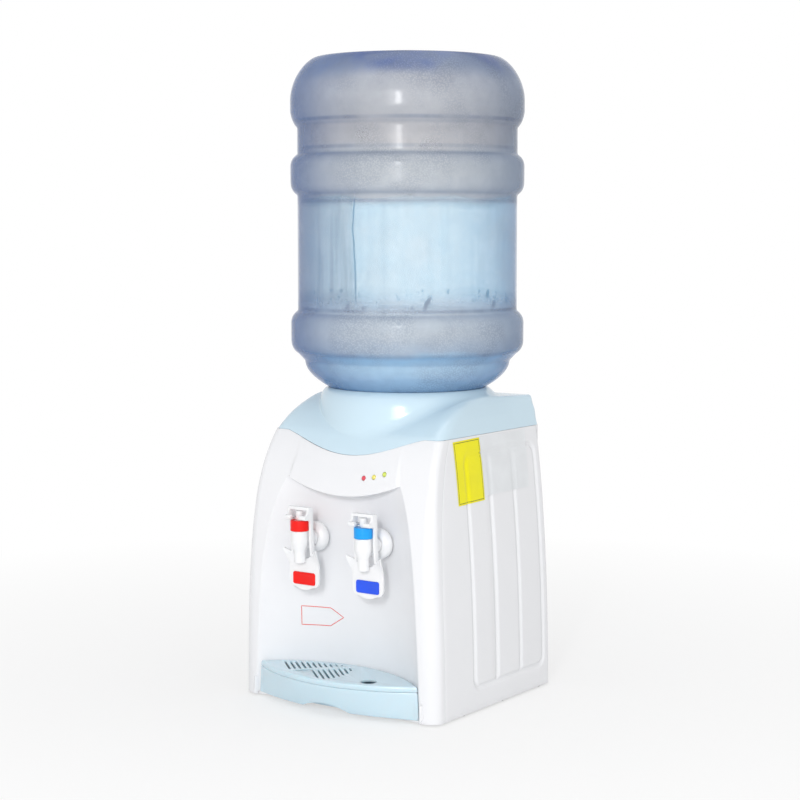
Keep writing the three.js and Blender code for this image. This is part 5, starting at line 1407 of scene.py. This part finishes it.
def inset_corners(corners, by):
    """The four corners moved in towards their middle by the same share on both axes."""
    p = np.array(corners)
    middle = p.mean(0)
    return middle + (p - middle) * (1 - by / np.abs(p - middle).max(0))


YELLOW_AT = [(-80.6, 303), (-27.2, 303.8), (-27.8, 233.6), (-81, 232.8)]
PALE_AT = [(-25.6, 304), (71, 303.8), (68.4, 238), (-26.2, 237.6)]
sticker("side_sticker_yellow", YELLOW_AT, 0.5, "yellow_film")
outer, inner = inset_corners(YELLOW_AT, 1.6), inset_corners(YELLOW_AT, 2.3)
for k in range(4):
    after = (k + 1) % 4
    strip = [outer[k], outer[after], inner[after], inner[k]]
    sticker("sticker_border_%d" % (k + 1), strip, 0.58, "border_film")
sticker("side_sticker_pale", PALE_AT, 0.3, "pale_film")

ARROW = [(-69.5, 104), (-36, 103.5), (-20, 93.6), (-37, 82.4), (-69.8, 82)]
ARROW_LINE = 1.1


def arrow_sticker():
    """Thin printed outline of an arrow on the wall of the bay."""
    curve = bpy.data.curves.new("bay_sticker", "CURVE")
    curve.dimensions = "3D"
    curve.bevel_depth = ARROW_LINE / 2 * MM
    curve.bevel_resolution = 2
    spline = curve.splines.new("POLY")
    dense = []
    for (x0, z0), (x1, z1) in zip(ARROW, ARROW[1:] + ARROW[:1]):
        for t in np.arange(12) / 12:
            x, z = x0 + (x1 - x0) * t, z0 + (z1 - z0) * t
            dense.append((x, bay_wall_y(x, z) + ARROW_LINE * 0.2, z))
    spline.points.add(len(dense) - 1)
    for point, p in zip(spline.points, dense):
        point.co = (*place(*p), 1)
    spline.use_cyclic_u = True
    line = new_object("line", curve)
    mesh = plain_mesh(line)
    bpy.data.objects.remove(line)
    return new_object("bay_sticker", mesh)


finish(arrow_sticker(), "housing", "red_plastic", angle=60, look="red_film")

# ---- CAD nodes that stay
EDGED = ("rear_panel", "base_pan", "hot_switch_bezel", "cold_switch_bezel", "fan_frame")
for name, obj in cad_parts.items():
    for slot in obj.material_slots:
        key = slot.material.name.split(".")[0] if slot.material else ""
        if key in materials:
            slot.material = materials[key]
    if name in EDGED:
        soften(obj, 0.35, 2, 40)

# ---- floor, world and lamps
FLOOR_Z = cad_box[0][2] - 0.0002
SPAN = 40.0


def floor_material():
    look = Look("floor")
    look.surface(Base_Color=(0.9, 0.9, 0.9, 1), Roughness=0.7)
    far = look.node("VectorMath", look.where, operation="LENGTH").outputs["Value"]
    fade = look.times(look.spread(far, 0.55, 1.0, 0.15, 1.1), look.seen())
    mixed = look.blend(fade, look.bsdf, look.node("Emission", Strength=1.0))
    look.feed(mixed, look.tree.nodes["Material Output"].inputs["Surface"])
    return look.material


ground = bpy.data.meshes.new("floor")
corners = [(x, y, FLOOR_Z) for x, y in ((-1, -1), (1, -1), (1, 1), (-1, 1))]
ground.from_pydata([(x * SPAN, y * SPAN, z) for x, y, z in corners], [], [(0, 1, 2, 3)])
floor = new_object("floor", ground)
floor.data.materials.append(floor_material())

world = bpy.data.worlds.new("studio")
bpy.context.scene.world = world
world.use_nodes = True
world.node_tree.nodes.clear()
sky = Shader(world.node_tree)
dim, white = (sky.node("Background", Color=(1, 1, 1, 1), Strength=s) for s in (0.62, 1.0))
sky.feed(sky.blend(sky.seen(), dim, white), sky.node("OutputWorld").inputs["Surface"])


def lamp(name, position, size, power):
    data = bpy.data.lights.new(name, "AREA")
    data.shape = "RECTANGLE"
    data.size, data.size_y = size
    data.energy = power
    obj = new_object(name, data)
    obj.location = place(*position)
    aim = place(0, -20, 330) - obj.location
    obj.rotation_euler = aim.to_track_quat("-Z", "Y").to_euler()


lamp("key", (850, -2000, 700), (0.5, 0.9), 9)
lamp("fill", (1700, -900, 900), (1.0, 1.6), 2.8)
lamp("top", (100, 300, 2200), (1.4, 1.4), 7)
lamp("front", (950, -1900, 850), (0.14, 0.3), 9.5)

bpy.context.scene.view_settings.view_transform = "Standard"
